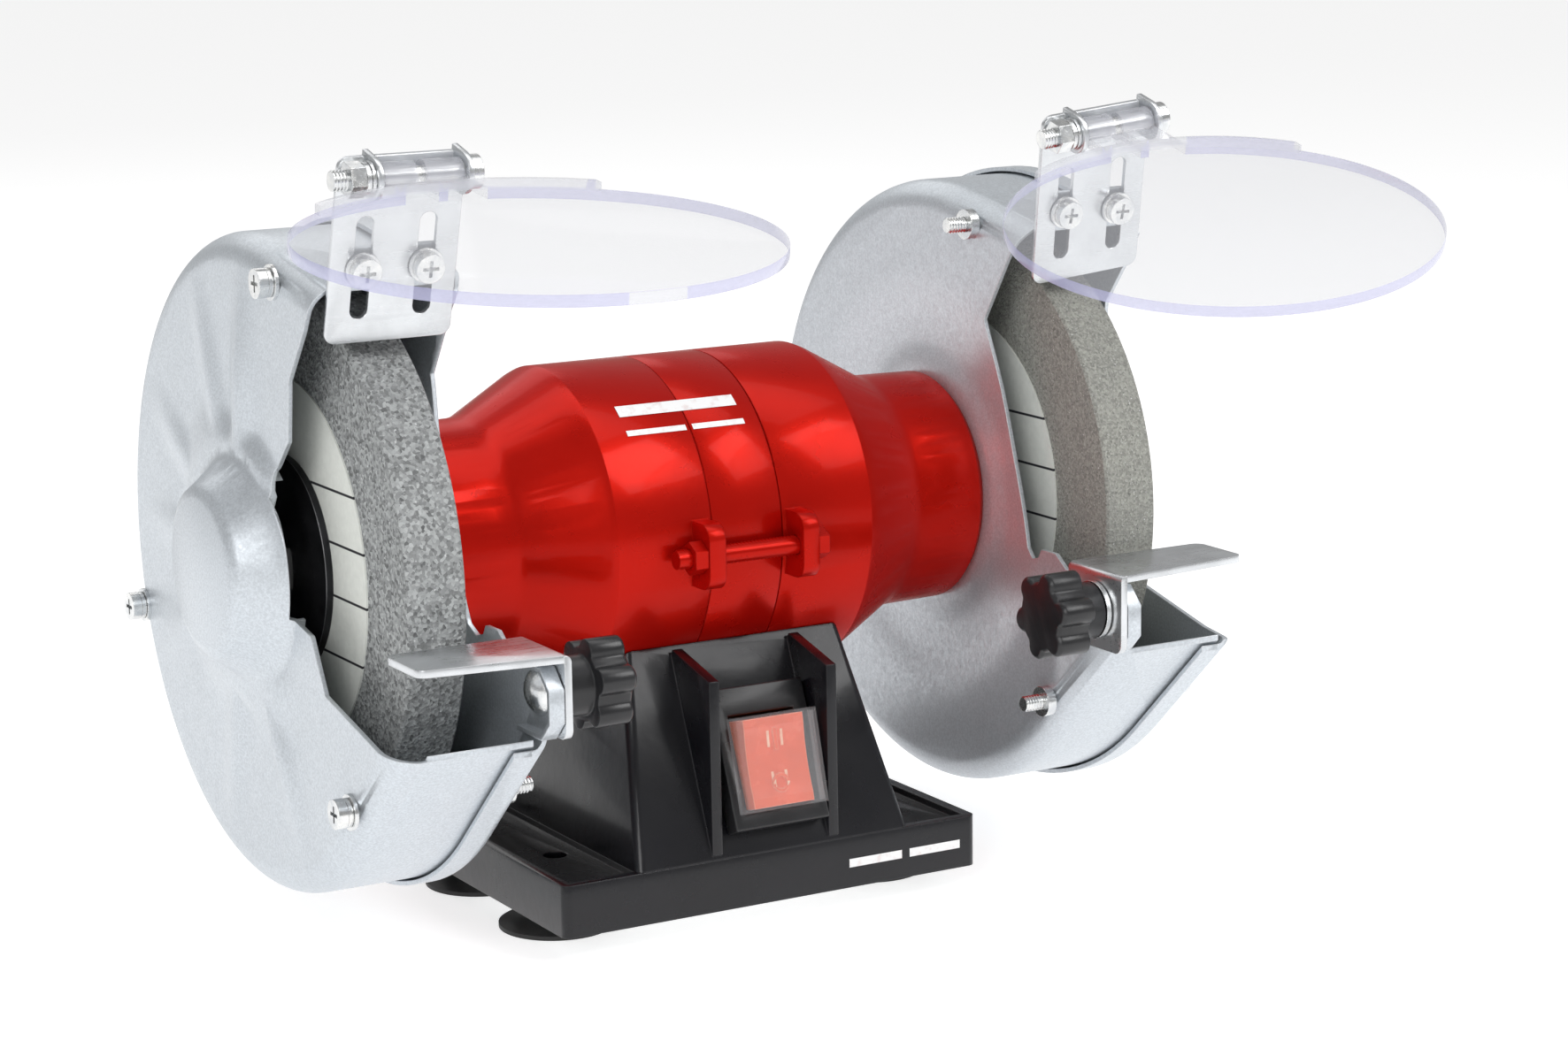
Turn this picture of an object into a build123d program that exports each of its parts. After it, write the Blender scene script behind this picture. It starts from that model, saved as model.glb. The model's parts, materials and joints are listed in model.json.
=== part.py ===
"""Bench grinder: twin 150 mm wheels on one motor shaft, guards, tool rests and eye shields.

Frame: X runs along the shaft, Y to the back, Z up. The origin is on the bench, under the
middle of the base. Everything is in millimetres.
"""
from build123d import *
import math
import os

# ---------------------------------------------------------------- driving dimensions
SHAFT_Z = 105.0             # height of the shaft line above the bench
WHEEL_X = 105.7             # middle of each wheel from the middle of the machine
WHEEL_R = 75.0
WHEEL_T = 16.0
SPINDLE_R = 6.35            # wheel bore is 12.7 mm
LABEL_R = 50.0
LABEL_T = 0.5
FLANGE_R = 29.0
FLANGE_T = 5.0

SHEET = 1.2                 # guard sheet steel
GUARD_R = 88.3              # outer radius of the deep guard shell
GUARD_IN = 85.0             # motor-side face of the inner guard
GUARD_OUT = 126.5           # outer face of the outer cover
LAP = 0.7                   # gap between the two guard shells where they lap
SHALLOW = 9.5               # depth of the shallow shell
DEEP = 37.5                 # depth of the deep shell
HUB_BULGE = 13.5            # the outer covers bulge over the spindle nuts

MOTOR_R = 45.6
MOTOR_WALL = 3.6
RING_HALF = 10.8            # half width of the middle housing ring
BELL_START = 11.0
BELL_SHOULDER = 40.3        # where the end bell starts to taper
NECK_X = 62.0
NECK_R = 33.5
BEARING_R = 17.5            # 35 x 15 x 11 ball bearing
BEARING_BORE = 7.5
BEARING_W = 11.0
BEARING_X = 75.2            # middle of each bearing

BASE_X = 64.6               # half length of the plinth
BASE_Y = 58.6               # half width of the plinth
FOOT_H = 7.0
PLINTH_TOP = 21.5
PLINTH_WALL = 2.5
PEDESTAL_X = 42.4           # half size of the pedestal where it stands on the plinth
SADDLE_X = 33.6             # half size of the pedestal at the saddle
SADDLE_Y = 36.0
SADDLE_Z = 76.7
FOOT_X = 50.0
FOOT_Y = 24.0
FOOT_R = 16.0
BENCH_HOLE_R = 3.3
FIN_X = 18.2
FIN_T = 3.0

REST_Z = 95.6               # working surface of the tool rest
REST_T = 2.0
REST_BACK = -77.7           # edge that faces the wheel
REST_FRONT = -103.0
REST_REACH = {"left": 122.0, "right": 127.0}
CLAMP_Y = -91.0             # carriage bolt that clamps the tool rest
CLAMP_Z = 84.5
CLAMP_R = 3.0

SHIELD_X = 105.5            # middle of the shield bracket
BRACKET_Y = -53.3           # where the bracket screws cross the bracket's back face
BRACKET_Z = 189.3
BRACKET_LEAN = 16.0         # the bracket leans forward
BRACKET_W = 34.6
BRACKET_T = 1.5
SLOT_U = 8.6                # the two slots are this far from the bracket's middle
SLOT_W = 4.8
HINGE_V = 26.0              # hinge bolt, up the bracket from the screws
HINGE_W = 6.2               # hinge bolt, in front of the bracket's back face
HINGE_R = 2.5
KNUCKLE_R = 4.0
SHIELD_A = 59.5             # half length of the oval shield
SHIELD_B = 52.0             # half depth of the oval shield
SHIELD_FORWARD = 68.0       # middle of the oval from the hinge bolt
SHIELD_T = 3.0
SHIELD_TILT = {"left": 7.5, "right": 15.5}
BRACKET_SKEW = {"left": 0.0, "right": 6.0}
SHIELD_SHIFT = {"left": 2.5, "right": -8.0}

SIDES = {"left": -1, "right": 1}
SIDE_CLEAR = 0.3

# guard side view, (y, z) from the shaft: where the shell ends above and below the window
WINDOW_TOP = (-52.0, 80.0)
WINDOW_BOTTOM = (-93.0, -34.0)
COVER_SCREWS = [(-26.0, 78.5), (-64.5, -52.0), (79.0, -25.0)]
COVER_SCREW_R = 2.0
MOUNT_SCREW_PITCH = 26.0

# switch, on the sloping front of the pedestal
SWITCH_X = 0.7
SWITCH_Z = 43.9
GLAND_Z = 36.0
GLAND_R = 7.0
CABLE_R = 3.6
ROCKER_REST = 7.5            # at rest the rocker leans with its lower end pressed in


# ---------------------------------------------------------------- small helpers
def box(x, y, z):
    """Box from its low and high corner values on each axis."""
    size = [high - low for low, high in (x, y, z)]
    middle = [(high + low) / 2 for low, high in (x, y, z)]
    return Pos(*middle) * Box(*size)


def rod(radius, x0, x1, y=0.0, z=SHAFT_Z):
    """Cylinder along X."""
    return Pos((x0 + x1) / 2, y, z) * Rot(0, 90, 0) * Cylinder(radius, abs(x1 - x0))


def tube(outer, inner, x0, x1, y=0.0, z=SHAFT_Z):
    """Ring or tube along X."""
    return rod(outer, x0, x1, y, z) - rod(inner, min(x0, x1) - 1, max(x0, x1) + 1, y, z)


def upright(radius, x, y, z0, z1):
    """Cylinder along Z."""
    return Pos(x, y, (z0 + z1) / 2) * Cylinder(radius, abs(z1 - z0))


def hex_rod(across_flats, x0, x1, y=0.0, z=SHAFT_Z):
    """Hexagonal bar along X."""
    corner = across_flats / math.sqrt(3)
    flat = Plane(origin=(x0, y, z), z_dir=(1, 0, 0)) * RegularPolygon(corner, 6)
    return extrude(flat, amount=x1 - x0)


def turned(profile, height=SHAFT_Z):
    """Solid turned about the shaft line from (x, radius) points."""
    points = [(x, 0, height + radius) for x, radius in profile]
    face = make_face(Polyline(*points, close=True))
    return revolve(face, Axis((0, 0, height), (1, 0, 0)), 360)


def plate(outline, x0, x1):
    """Flat plate across X from a (y, z) outline measured from the shaft."""
    points = [(x0, y, SHAFT_Z + z) for y, z in outline]
    return extrude(make_face(Polyline(*points, close=True)), amount=x1 - x0, dir=(1, 0, 0))


def on_side(shape, side):
    """Parts are drawn for the right side and mirrored for the left."""
    return mirror(shape, about=Plane.YZ) if side == "left" else shape


def both_sides(shape):
    """The same piece on both sides, as two separate solids."""
    return Compound(children=[shape, mirror(shape, about=Plane.YZ)])


def group(shapes):
    """Like pieces kept as separate solids of one node."""
    return Compound(children=[solid for shape in shapes for solid in shape.solids()])


def cross_cut(depth, x, y, z, direction=1):
    """Cross recess that is cut into a screw head facing along X."""
    x0, x1 = sorted((x, x - direction * depth))
    span = (x0, x1 + 0.01) if direction > 0 else (x0 - 0.01, x1)
    blade = box(span, (y - 2.2, y + 2.2), (z - 0.45, z + 0.45))
    return blade + box(span, (y - 0.45, y + 0.45), (z - 2.2, z + 2.2))


# ---------------------------------------------------------------- guards
def tangent_point(corner, upper):
    """Where the straight run to a window corner leaves the guard circle."""
    y, z = corner
    reach = math.hypot(y, z)
    swing = math.acos(GUARD_R / reach)
    angle = math.atan2(z, y) + (-swing if upper else swing)
    return angle


def shell_face(grow, x, stretch=0.0):
    """Side view of a guard shell: a circle that runs on straight to the two window corners."""
    radius = GUARD_R + grow
    ends = []
    for corner, upper in ((WINDOW_TOP, True), (WINDOW_BOTTOM, False)):
        angle = tangent_point(corner, upper)
        normal = (math.cos(angle), math.sin(angle))
        along = (-normal[1], normal[0]) if upper else (normal[1], -normal[0])
        touch = (x, radius * normal[0], SHAFT_Z + radius * normal[1])
        tip = (
            x,
            corner[0] + grow * normal[0] + stretch * along[0],
            SHAFT_Z + corner[1] + grow * normal[1] + stretch * along[1],
        )
        ends.append((touch, tip))
    (top_touch, top_tip), (low_touch, low_tip) = ends
    edges = [
        Line(top_touch, top_tip),
        Line(top_tip, low_tip),
        Line(low_tip, low_touch),
        ThreePointArc(low_touch, (x, radius, SHAFT_Z), top_touch),
    ]
    return make_face(edges)


def pan(grow, wall_x, open_x, bend):
    """Closed pan of a guard shell: flat wall at wall_x, rim running to open_x."""
    depth = open_x - wall_x
    sign = 1 if depth > 0 else -1
    outer = extrude(shell_face(grow, wall_x, 6), amount=abs(depth), dir=(sign, 0, 0))
    inner_start = wall_x + sign * SHEET
    inner = extrude(
        shell_face(grow - SHEET, inner_start, 12), amount=abs(depth) + 5, dir=(sign, 0, 0)
    )
    outer = fillet(bend_edges(outer, wall_x), bend)
    inner = fillet(bend_edges(inner, inner_start), bend - SHEET)
    return outer - inner


def bend_edges(solid, x):
    """Edges of the flat wall at x, all but the straight one across the window."""
    edges = [e for e in solid.edges() if abs(e.center().X - x) < 1e-3]
    front = min(edges, key=lambda e: e.center().Y)
    return [e for e in edges if e is not front]


def window_cut(outline, x0, x1):
    """Everything in front of the window outline, to be cut from a guard wall."""
    far = -160.0
    points = [(far, WINDOW_TOP[1] + 40)] + [(outline[0][0], WINDOW_TOP[1] + 40)] + outline
    points += [(outline[-1][0], -45.0), (far, -45.0)]
    return plate(points, x0, x1)


COVER_WINDOW = [
    (-52.0, 80.0), (-45.0, 68.0), (-34.0, 54.0), (-32.0, 38.0), (-23.0, 29.0), (-22.0, 12.0),
    (-28.0, -8.0), (-42.0, -11.0), (-50.0, -25.0), (-82.0, -32.5), (-92.9, -34.0),
]
GUARD_WINDOW = [
    (-52.0, 80.0), (-44.0, 70.0), (-32.0, 52.0), (-51.0, -6.0), (-52.5, -10.5), (-56.0, -13.0),
    (-59.5, -12.0), (-61.0, -9.5), (-68.0, -9.5), (-73.0, -13.0), (-92.9, -13.0), (-92.9, -34.0),
]
EAR = [
    (-88.0, -13.0), (-98.0, -13.0), (-103.0, -18.0), (-103.0, -26.5), (-98.0, -31.5),
    (-90.0, -31.5),
]
EAR_RIM = 3.0


def ear():
    """Ear that carries the tool rest: a tray whose rim turns away from the motor."""
    slab = plate([(-84.0, -13.0)] + EAR[1:] + [(-84.0, -31.5)], GUARD_IN, GUARD_IN + SHEET + EAR_RIM)
    hollow = plate(
        [(-60.0, -14.2), (-97.5, -14.2), (-101.8, -18.5), (-101.8, -26.0), (-97.5, -30.3),
         (-60.0, -30.3)],
        GUARD_IN + SHEET,
        GUARD_IN + SHEET + EAR_RIM + 1,
    )
    return slab - hollow


def bracket_plane(skew=0.0):
    """Plane of the shield bracket's back face, on the right side: x across, y up, z forward."""
    lean = math.radians(BRACKET_LEAN)
    forward = (0, -math.cos(lean), -math.sin(lean))
    flat = Plane(origin=(SHIELD_X, BRACKET_Y, BRACKET_Z), x_dir=(1, 0, 0), z_dir=forward)
    return Plane(flat.location * Rot(0, 0, skew))


def lip():
    """Lip at the window's top edge that the shield bracket is screwed to."""
    flat = bracket_plane()
    thick = SHEET + SIDE_CLEAR
    slab = flat * Pos(0, -0.75, -(SIDE_CLEAR + thick) / 2) * Box(28, 11.5, SHEET)
    for u in (-SLOT_U, SLOT_U):
        slab -= flat * Pos(u, 0, 0) * Cylinder(2.05, 10)
    return slab


def guard_holes(x0, x1, centre_r):
    """Shaft opening and screw holes through a guard wall."""
    holes = rod(centre_r, x0, x1)
    for y, z in COVER_SCREWS:
        holes += rod(COVER_SCREW_R + 0.1, x0, x1, y, SHAFT_Z + z)
    return holes


def mount_holes(x0, x1, radius):
    """Holes for the three screws that hold the guard to the end bell."""
    holes = []
    for angle in (90, 210, 330):
        y = MOUNT_SCREW_PITCH * math.cos(math.radians(angle))
        z = SHAFT_Z + MOUNT_SCREW_PITCH * math.sin(math.radians(angle))
        holes.append(rod(radius, x0, x1, y, z))
    return holes


def inner_guard(side):
    """Motor-side guard shell: deep on the right, shallow on the left."""
    deep = side == "right"
    if deep:
        shell = pan(0.0, GUARD_IN, GUARD_IN + DEEP, 8.0)
    else:
        shell = pan(LAP + SHEET, GUARD_IN, GUARD_IN + SHALLOW, 4.0)
    wall_end = GUARD_IN + 8.5 if deep else GUARD_IN + 4.5
    shell -= window_cut(GUARD_WINDOW, GUARD_IN - 1, wall_end)
    front = WINDOW_BOTTOM[0]
    shell -= box((GUARD_IN - 1, GUARD_IN + DEEP + 1), (-160, front), (0, 300))
    shell += ear()
    shell -= window_trim(deep)
    if deep:
        shell += lip()
    shell -= guard_holes(GUARD_IN - 1, GUARD_IN + 6, 10.5)
    for hole in mount_holes(GUARD_IN - 1, GUARD_IN + 3, 2.2):
        shell -= hole
    square = CLAMP_R + 0.3
    shell -= box((GUARD_IN - 1, GUARD_IN + 3), (CLAMP_Y - square, CLAMP_Y + square),
                 (CLAMP_Z - square, CLAMP_Z + square))
    return shell


def window_trim(has_lip):
    """Trims the rim parallel to the shield bracket at the window's top edge."""
    behind = SIDE_CLEAR if has_lip else SIDE_CLEAR + SHEET + 1.0
    return bracket_plane() * Pos(0, 10, 50 - behind) * Box(100, 40, 100)


def hub_bulge(grow):
    """Low round bulge of the outer cover over the spindle nut."""
    tip = GUARD_OUT + HUB_BULGE + grow
    return turned([
        (GUARD_OUT - 3, 0.0), (GUARD_OUT - 3, 33.0 + grow), (GUARD_OUT + grow, 33.0 + grow),
        (GUARD_OUT + grow + 3.0, 29.5 + grow), (tip - 4.0, 24.5 + grow), (tip - 1.2, 22.5 + grow),
        (tip, 19.5 + grow), (tip, 0.0),
    ])


def outer_cover(side):
    """Outer cover: deep on the left, shallow on the right."""
    deep = side == "left"
    if deep:
        shell = pan(0.0, GUARD_OUT, GUARD_OUT - DEEP, 8.0)
    else:
        shell = pan(LAP + SHEET, GUARD_OUT, GUARD_OUT - SHALLOW, 4.0)
    shell += hub_bulge(0.0)
    shell -= hub_bulge(-SHEET)
    shell -= box((GUARD_OUT - 12, GUARD_OUT - SHEET), (-26, 26), (SHAFT_Z - 26, SHAFT_Z + 26))
    wall_start = GUARD_OUT - 8.5 if deep else GUARD_OUT - 4.5
    shell -= window_cut(COVER_WINDOW, wall_start, GUARD_OUT + 1)
    front = WINDOW_BOTTOM[0]
    shell -= box((GUARD_OUT - DEEP - 1, GUARD_OUT + 1), (-160, front), (0, 300))
    shell -= window_trim(deep)
    if deep:
        shell += lip()
    shell -= guard_holes(GUARD_OUT - 5, GUARD_OUT + 1, 0.001)
    return shell


def cover_screws():
    """Long screws from the outer cover to the inner guard, one set per side."""
    screws, washers, nuts = [], [], []
    head = GUARD_OUT + 2.4
    for y, z in COVER_SCREWS:
        height = SHAFT_Z + z
        screw = rod(COVER_SCREW_R, GUARD_IN - 8.5, head, y, height)
        screw += rod(3.9, head, head + 2.6, y, height)
        screws.append(screw - cross_cut(1.6, head + 2.6, y, height))
        washers.append(tube(4.7, COVER_SCREW_R + 0.1, GUARD_OUT, GUARD_OUT + 1.0, y, height))
        washers.append(tube(3.8, COVER_SCREW_R + 0.1, GUARD_OUT + 1.1, GUARD_OUT + 2.3, y, height))
        nuts.append(tube(4.3, COVER_SCREW_R + 0.1, GUARD_IN - 2.7, GUARD_IN, y, height))
    return screws, washers, nuts


# ---------------------------------------------------------------- motor
def end_bell():
    """Right end bell: body, taper, neck and bearing seat."""
    seat = BEARING_R + 0.02
    bell = turned([
        (BELL_START, MOTOR_R), (BELL_SHOULDER - 1, MOTOR_R), (BELL_SHOULDER + 1, MOTOR_R - 0.8),
        (NECK_X - 1.5, NECK_R + 0.8), (NECK_X + 1.5, NECK_R), (GUARD_IN - 2.0, NECK_R - 0.4),
        (GUARD_IN, NECK_R - 2.2), (GUARD_IN, 10.0), (BEARING_X + 6.0, 10.0),
        (BEARING_X + 6.0, seat), (BEARING_X - 6.0, seat), (BEARING_X - 6.0, 22.0),
        (BEARING_X - 0.2, 22.0), (BEARING_X - 0.2, NECK_R - 3.7), (NECK_X - 1.0, NECK_R - 3.7),
        (BELL_SHOULDER, MOTOR_R - MOTOR_WALL), (BELL_START, MOTOR_R - MOTOR_WALL),
    ])
    for sign in (-1, 1):
        bell += tie_lug(sign)
    for hole in mount_holes(GUARD_IN - 8.5, GUARD_IN + 1, 1.9):
        bell -= hole
    for y in (-14.0, 14.0):
        foot = -math.sqrt(MOTOR_R ** 2 - y ** 2)
        bell -= upright(2.1, 26.0, y, SHAFT_Z + foot - 1, SHAFT_Z + foot + 2.8)
    return bell


TIE_R = 50.6
TIE_DROP = -1.5             # the tie bolts lie a little below the shaft


def tie_lug(sign):
    """Lug on the end bell beside the seam, with the hole for a tie bolt."""
    y = sign * TIE_R
    z = SHAFT_Z + TIE_DROP
    lug = box((BELL_START + 1.0, BELL_START + 6.0), sorted((sign * 43.5, sign * 55.0)), (z - 9.0, z + 9.0))
    corners = [e for e in lug.edges().filter_by(Axis.X) if abs(e.center().Y) > 50]
    lug = fillet(corners, 4.5)
    lug -= rod(MOTOR_R - 1.0, 0, 40)
    return lug - rod(2.6, 0, 40, y, z)


def tie_bolts():
    """Long bolts that pull the two end bells together, with their nuts."""
    bolts, nuts = [], []
    outer = BELL_START + 6.0
    z = SHAFT_Z + TIE_DROP
    for sign in (-1, 1):
        y = sign * TIE_R
        bolts.append(rod(2.5, -outer - 8.0, outer, y, z) + hex_rod(8.0, outer, outer + 3.5, y, z))
        nuts.append(hex_rod(8.0, -outer - 4.0, -outer, y, z) - rod(2.55, -40, 0, y, z))
    return bolts, nuts


def bearing():
    """One ball bearing, as its outer ring, inner ring and balls."""
    x0, x1 = BEARING_X - BEARING_W / 2, BEARING_X + BEARING_W / 2
    pitch, ball = 12.5, 2.9
    groove = Pos(BEARING_X, 0, SHAFT_Z) * Rot(0, 90, 0) * Torus(pitch, ball + 0.06)
    outer = tube(BEARING_R, 14.6, x0, x1) - groove
    inner = tube(10.4, BEARING_BORE + 0.02, x0, x1) - groove
    balls = []
    for step in range(8):
        angle = math.radians(45 * step)
        balls.append(Pos(BEARING_X, pitch * math.cos(angle), SHAFT_Z + pitch * math.sin(angle))
                     * Sphere(ball))
    return outer, inner, balls


def stator_core():
    """Laminated stator with its slots for the windings."""
    core = tube(MOTOR_R - MOTOR_WALL - 0.1, 25.6, -18, 18)
    for step in range(12):
        angle = math.radians(30 * step)
        y, z = 30.5 * math.cos(angle), SHAFT_Z + 30.5 * math.sin(angle)
        core -= rod(3.4, -19, 19, y, z)
    return core


def shaft():
    """Motor shaft: thick in the rotor, bearing seats, wheel spindles with threaded ends."""
    half = [
        (0.0, 9.0), (BEARING_X - BEARING_W / 2, 9.0), (BEARING_X - BEARING_W / 2, BEARING_BORE),
        (WHEEL_X - WHEEL_T / 2 - LABEL_T - 6.5, BEARING_BORE),
        (WHEEL_X - WHEEL_T / 2 - LABEL_T - 6.5, SPINDLE_R - 0.05),
        (WHEEL_X + WHEEL_T / 2 + 4.5, SPINDLE_R - 0.05),
        (WHEEL_X + WHEEL_T / 2 + 4.5, 6.0), (134.0, 6.0), (135.0, 5.0), (135.0, 0.0),
    ]
    profile = [(-x, r) for x, r in reversed(half)] + half[1:]
    return turned(profile)


def rotor():
    """Cage rotor pressed on the shaft."""
    core = tube(25.0, 9.02, -18, 18)
    rings = tube(23.0, 14.0, -23, -18) + tube(23.0, 14.0, 18, 23)
    return core + rings


def fan():
    """Cooling fan beside the rotor."""
    wheel = tube(13.0, 9.02, 33, 39) + tube(34.0, 9.02, 37.6, 39)
    for step in range(9):
        blade = box((33, 37.8), (12.0, 33.0), (SHAFT_Z - 0.7, SHAFT_Z + 0.7))
        wheel += blade.rotate(Axis((0, 0, SHAFT_Z), (1, 0, 0)), 40 * step)
    return wheel


WHEEL_IN = WHEEL_X - WHEEL_T / 2
WHEEL_END = WHEEL_X + WHEEL_T / 2


def grinding_wheel():
    """Grinding wheel with a running clearance in its bore."""
    wheel = rod(WHEEL_R, WHEEL_IN, WHEEL_END)
    wheel = chamfer(wheel.edges(), 0.6)
    return wheel - rod(SPINDLE_R, WHEEL_IN - 1, WHEEL_END + 1)


def clamp_flange(inner):
    """Dished clamping flange that bears on the wheel only at its rim."""
    if inner:
        face, back = WHEEL_IN - LABEL_T, WHEEL_IN - LABEL_T - 6.5
    else:
        face, back = WHEEL_END + LABEL_T, WHEEL_END + LABEL_T + FLANGE_T
    step = face + (back - face) * 0.4
    edge = back + (face - back) * 0.3
    return turned([
        (face, FLANGE_R), (face, FLANGE_R - 6.0), (face + (back - face) * 0.15, FLANGE_R - 6.0),
        (face + (back - face) * 0.15, 12.0), (face, 12.0), (face, SPINDLE_R), (back, SPINDLE_R),
        (back, 14.0), (edge, FLANGE_R - 5.0), (step, FLANGE_R),
    ])


# ---------------------------------------------------------------- base
def pedestal_loft(shrink, low):
    """Tapered block between plinth and saddle, made smaller all round by shrink."""
    bottom = Plane.XY.offset(low) * Rectangle(2 * (PEDESTAL_X - shrink), 2 * (BASE_Y - shrink))
    top = Plane.XY.offset(SADDLE_Z) * Rectangle(2 * (SADDLE_X - shrink), 2 * (SADDLE_Y - shrink))
    return loft([bottom, top])


def face_y(z):
    """Y of the pedestal's sloping front at height z."""
    return -BASE_Y + (BASE_Y - SADDLE_Y) * (z - PLINTH_TOP) / (SADDLE_Z - PLINTH_TOP)


def switch_plane():
    """Plane on the sloping front, centred on the switch: x across, y up the slope, z outwards."""
    rise = SADDLE_Z - PLINTH_TOP
    run = BASE_Y - SADDLE_Y
    return Plane(origin=(SWITCH_X, face_y(SWITCH_Z), SWITCH_Z), x_dir=(1, 0, 0), z_dir=(0, -rise, run))


def pedestal():
    """Hollow pedestal with a saddle for the motor and a fin on each side of the switch."""
    body = pedestal_loft(0.0, PLINTH_TOP)
    slanted = [e for e in body.edges() if abs(e.center().Z - (PLINTH_TOP + SADDLE_Z) / 2) < 1]
    body = fillet(slanted, 2.5)
    for sign in (-1, 1):
        x = sign * FIN_X
        fin = [(-37.5, 75.8), (-58.1, 70.8), (-BASE_Y, 23.0), (-57.0, 22.0), (-36.5, 72.5)]
        flat = make_face(Polyline(*[(x - FIN_T / 2, y, z) for y, z in fin], close=True))
        body += extrude(flat, amount=FIN_T, dir=(1, 0, 0))
    cavity = pedestal_loft(PLINTH_WALL, PLINTH_TOP)
    for x, y in PEDESTAL_SCREWS:
        cavity -= upright(4.2, x, y, PLINTH_TOP, 38)
    body -= cavity - rod(MOTOR_R + 3.3, -60, 60)
    body -= rod(MOTOR_R + SIDE_CLEAR, -60, 60)
    body -= switch_plane() * Box(23, 29, 20)
    for x in (-26.0, 26.0):
        for y in (-14.0, 14.0):
            body -= upright(2.1, x, y, 40, 75)
    for x, y in PEDESTAL_SCREWS:
        body -= upright(1.5, x, y, PLINTH_TOP - 1, 34)
    return body - gland_plane() * Cylinder(GLAND_R + 0.1, 20)


def plinth():
    """Tray-shaped plinth, open below, that carries the pedestal and the feet."""
    deck = PLINTH_TOP - 2.0
    body = box((-BASE_X, BASE_X), (-BASE_Y, BASE_Y), (FOOT_H, PLINTH_TOP))
    body = fillet(body.edges().filter_by(Axis.Z), 2.5)
    tray = box((-BASE_X + 3, BASE_X - 3), (-BASE_Y + 3, BASE_Y - 3), (deck, PLINTH_TOP + 1))
    body -= tray - box((-PEDESTAL_X, PEDESTAL_X), (-BASE_Y, BASE_Y), (0, 60))
    body -= box(
        (-BASE_X + PLINTH_WALL, BASE_X - PLINTH_WALL),
        (-BASE_Y + PLINTH_WALL, BASE_Y - PLINTH_WALL),
        (FOOT_H - 1, deck - PLINTH_WALL),
    )
    body -= box((-28, 28), (-40, 40), (0, 60))
    for x in (-FOOT_X, FOOT_X):
        for y in (-FOOT_Y, FOOT_Y):
            body -= upright(BENCH_HOLE_R, x, y, 0, 40)
    for x, y in PLATE_SCREWS:
        body += upright(4.0, x, y, FOOT_H + 1.6, deck - 0.5)
        body -= upright(1.45, x, y, 0, deck - 2)
    for x, y in PEDESTAL_SCREWS:
        body -= upright(1.8, x, y, 0, 40)
    return body


PLATE_SCREWS = [(x, y) for x in (-56.0, 56.0) for y in (-50.0, 50.0)]
PEDESTAL_SCREWS = [(x, y) for x in (-33.0, 33.0) for y in (-45.5, 45.5)]


def bottom_plate():
    """Steel plate that closes the base, with the feet's holes and vents."""
    gap = PLINTH_WALL + 0.3
    sheet = box((-BASE_X + gap, BASE_X - gap), (-BASE_Y + gap, BASE_Y - gap), (FOOT_H, FOOT_H + 1.5))
    for x in (-FOOT_X, FOOT_X):
        for y in (-FOOT_Y, FOOT_Y):
            sheet -= upright(6.0, x, y, 0, 20)
    for x, y in PLATE_SCREWS:
        sheet -= upright(1.7, x, y, 0, 20)
    for step in range(-3, 4):
        sheet -= box((step * 8 - 1.5, step * 8 + 1.5), (-14, 14), (0, 20))
    return sheet


def foot(x, y):
    """Hollow rubber suction foot, gripped by the bottom plate."""
    profile = [
        (BENCH_HOLE_R, 0.0), (5.5, 0.0), (7.0, 1.6), (FOOT_R - 4.0, 0.9), (FOOT_R - 2.0, 0.0), (FOOT_R, 0.0),
        (FOOT_R, 1.2), (11.0, 4.0), (9.0, FOOT_H - 0.02), (5.9, FOOT_H - 0.02),
        (5.9, FOOT_H + 1.55), (8.0, FOOT_H + 1.55),
        (7.0, FOOT_H + 4.0), (BENCH_HOLE_R, FOOT_H + 4.0),
    ]
    face = make_face(Polyline(*[(r, 0, z) for r, z in profile], close=True))
    return Pos(x, y, 0) * revolve(face, Axis.Z, 360)


# ---------------------------------------------------------------- switch
def switch_frame():
    """Raised frame around the rocker."""
    flat = switch_plane()
    frame = flat * Pos(0, 1.5, 3.0) * Box(29, 39, 6)
    frame -= flat * Pos(0, 0, 3.0) * Box(20.4, 26.6, 14)
    return frame - Pos(0, 0, 0) * pedestal_loft(0.0, PLINTH_TOP - 0.01)


def switch_body():
    """Switch behind the frame, with its terminal blades."""
    flat = switch_plane()
    body = flat * Pos(0, 0, -9.0) * Box(22, 28, 18)
    body -= flat * Pos(0, 0, -3) * Box(20.4, 26.6, 10)
    for v in (-8, 0, 8):
        body += flat * Pos(0, v, -21) * Box(6.3, 0.8, 7)
    return body


ROCKER_PIVOT_W = 2.0


def rocker_plane():
    """Plane of the rocker at rest: turned a little about its pivot, lower edge pressed in."""
    pivot = switch_plane().offset(ROCKER_PIVOT_W)
    return pivot.rotated((ROCKER_REST, 0, 0))


def rocker():
    """Rocker with a raised bar and ring, and its two pivot stubs."""
    flat = rocker_plane()
    body = flat * Pos(0, 0, 3.2) * Box(18.6, 24.2, 10.0)
    body -= flat * Pos(0, 0, 66.0) * Rot(0, 90, 0) * Cylinder(58.6, 30)
    body += flat * Pos(0, 6.0, 7.5) * Box(1.2, 6.0, 1.4)
    ring = flat * Pos(0, -6.0, 7.55) * (Cylinder(2.6, 1.4) - Cylinder(1.7, 3))
    return body + ring


def rocker_cover():
    """Clear dust cover that snaps over the rocker and moves with it."""
    flat = rocker_plane()
    cover = flat * Pos(0, 0, 8.3) * Box(26.0, 26.0, 4.2)
    cover = fillet(cover.edges().group_by(Axis(flat.origin, flat.z_dir))[-1], 1.2)
    cover -= flat * Pos(0, 0, 7.1) * Box(24.0, 24.3, 4.6)
    return cover


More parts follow.
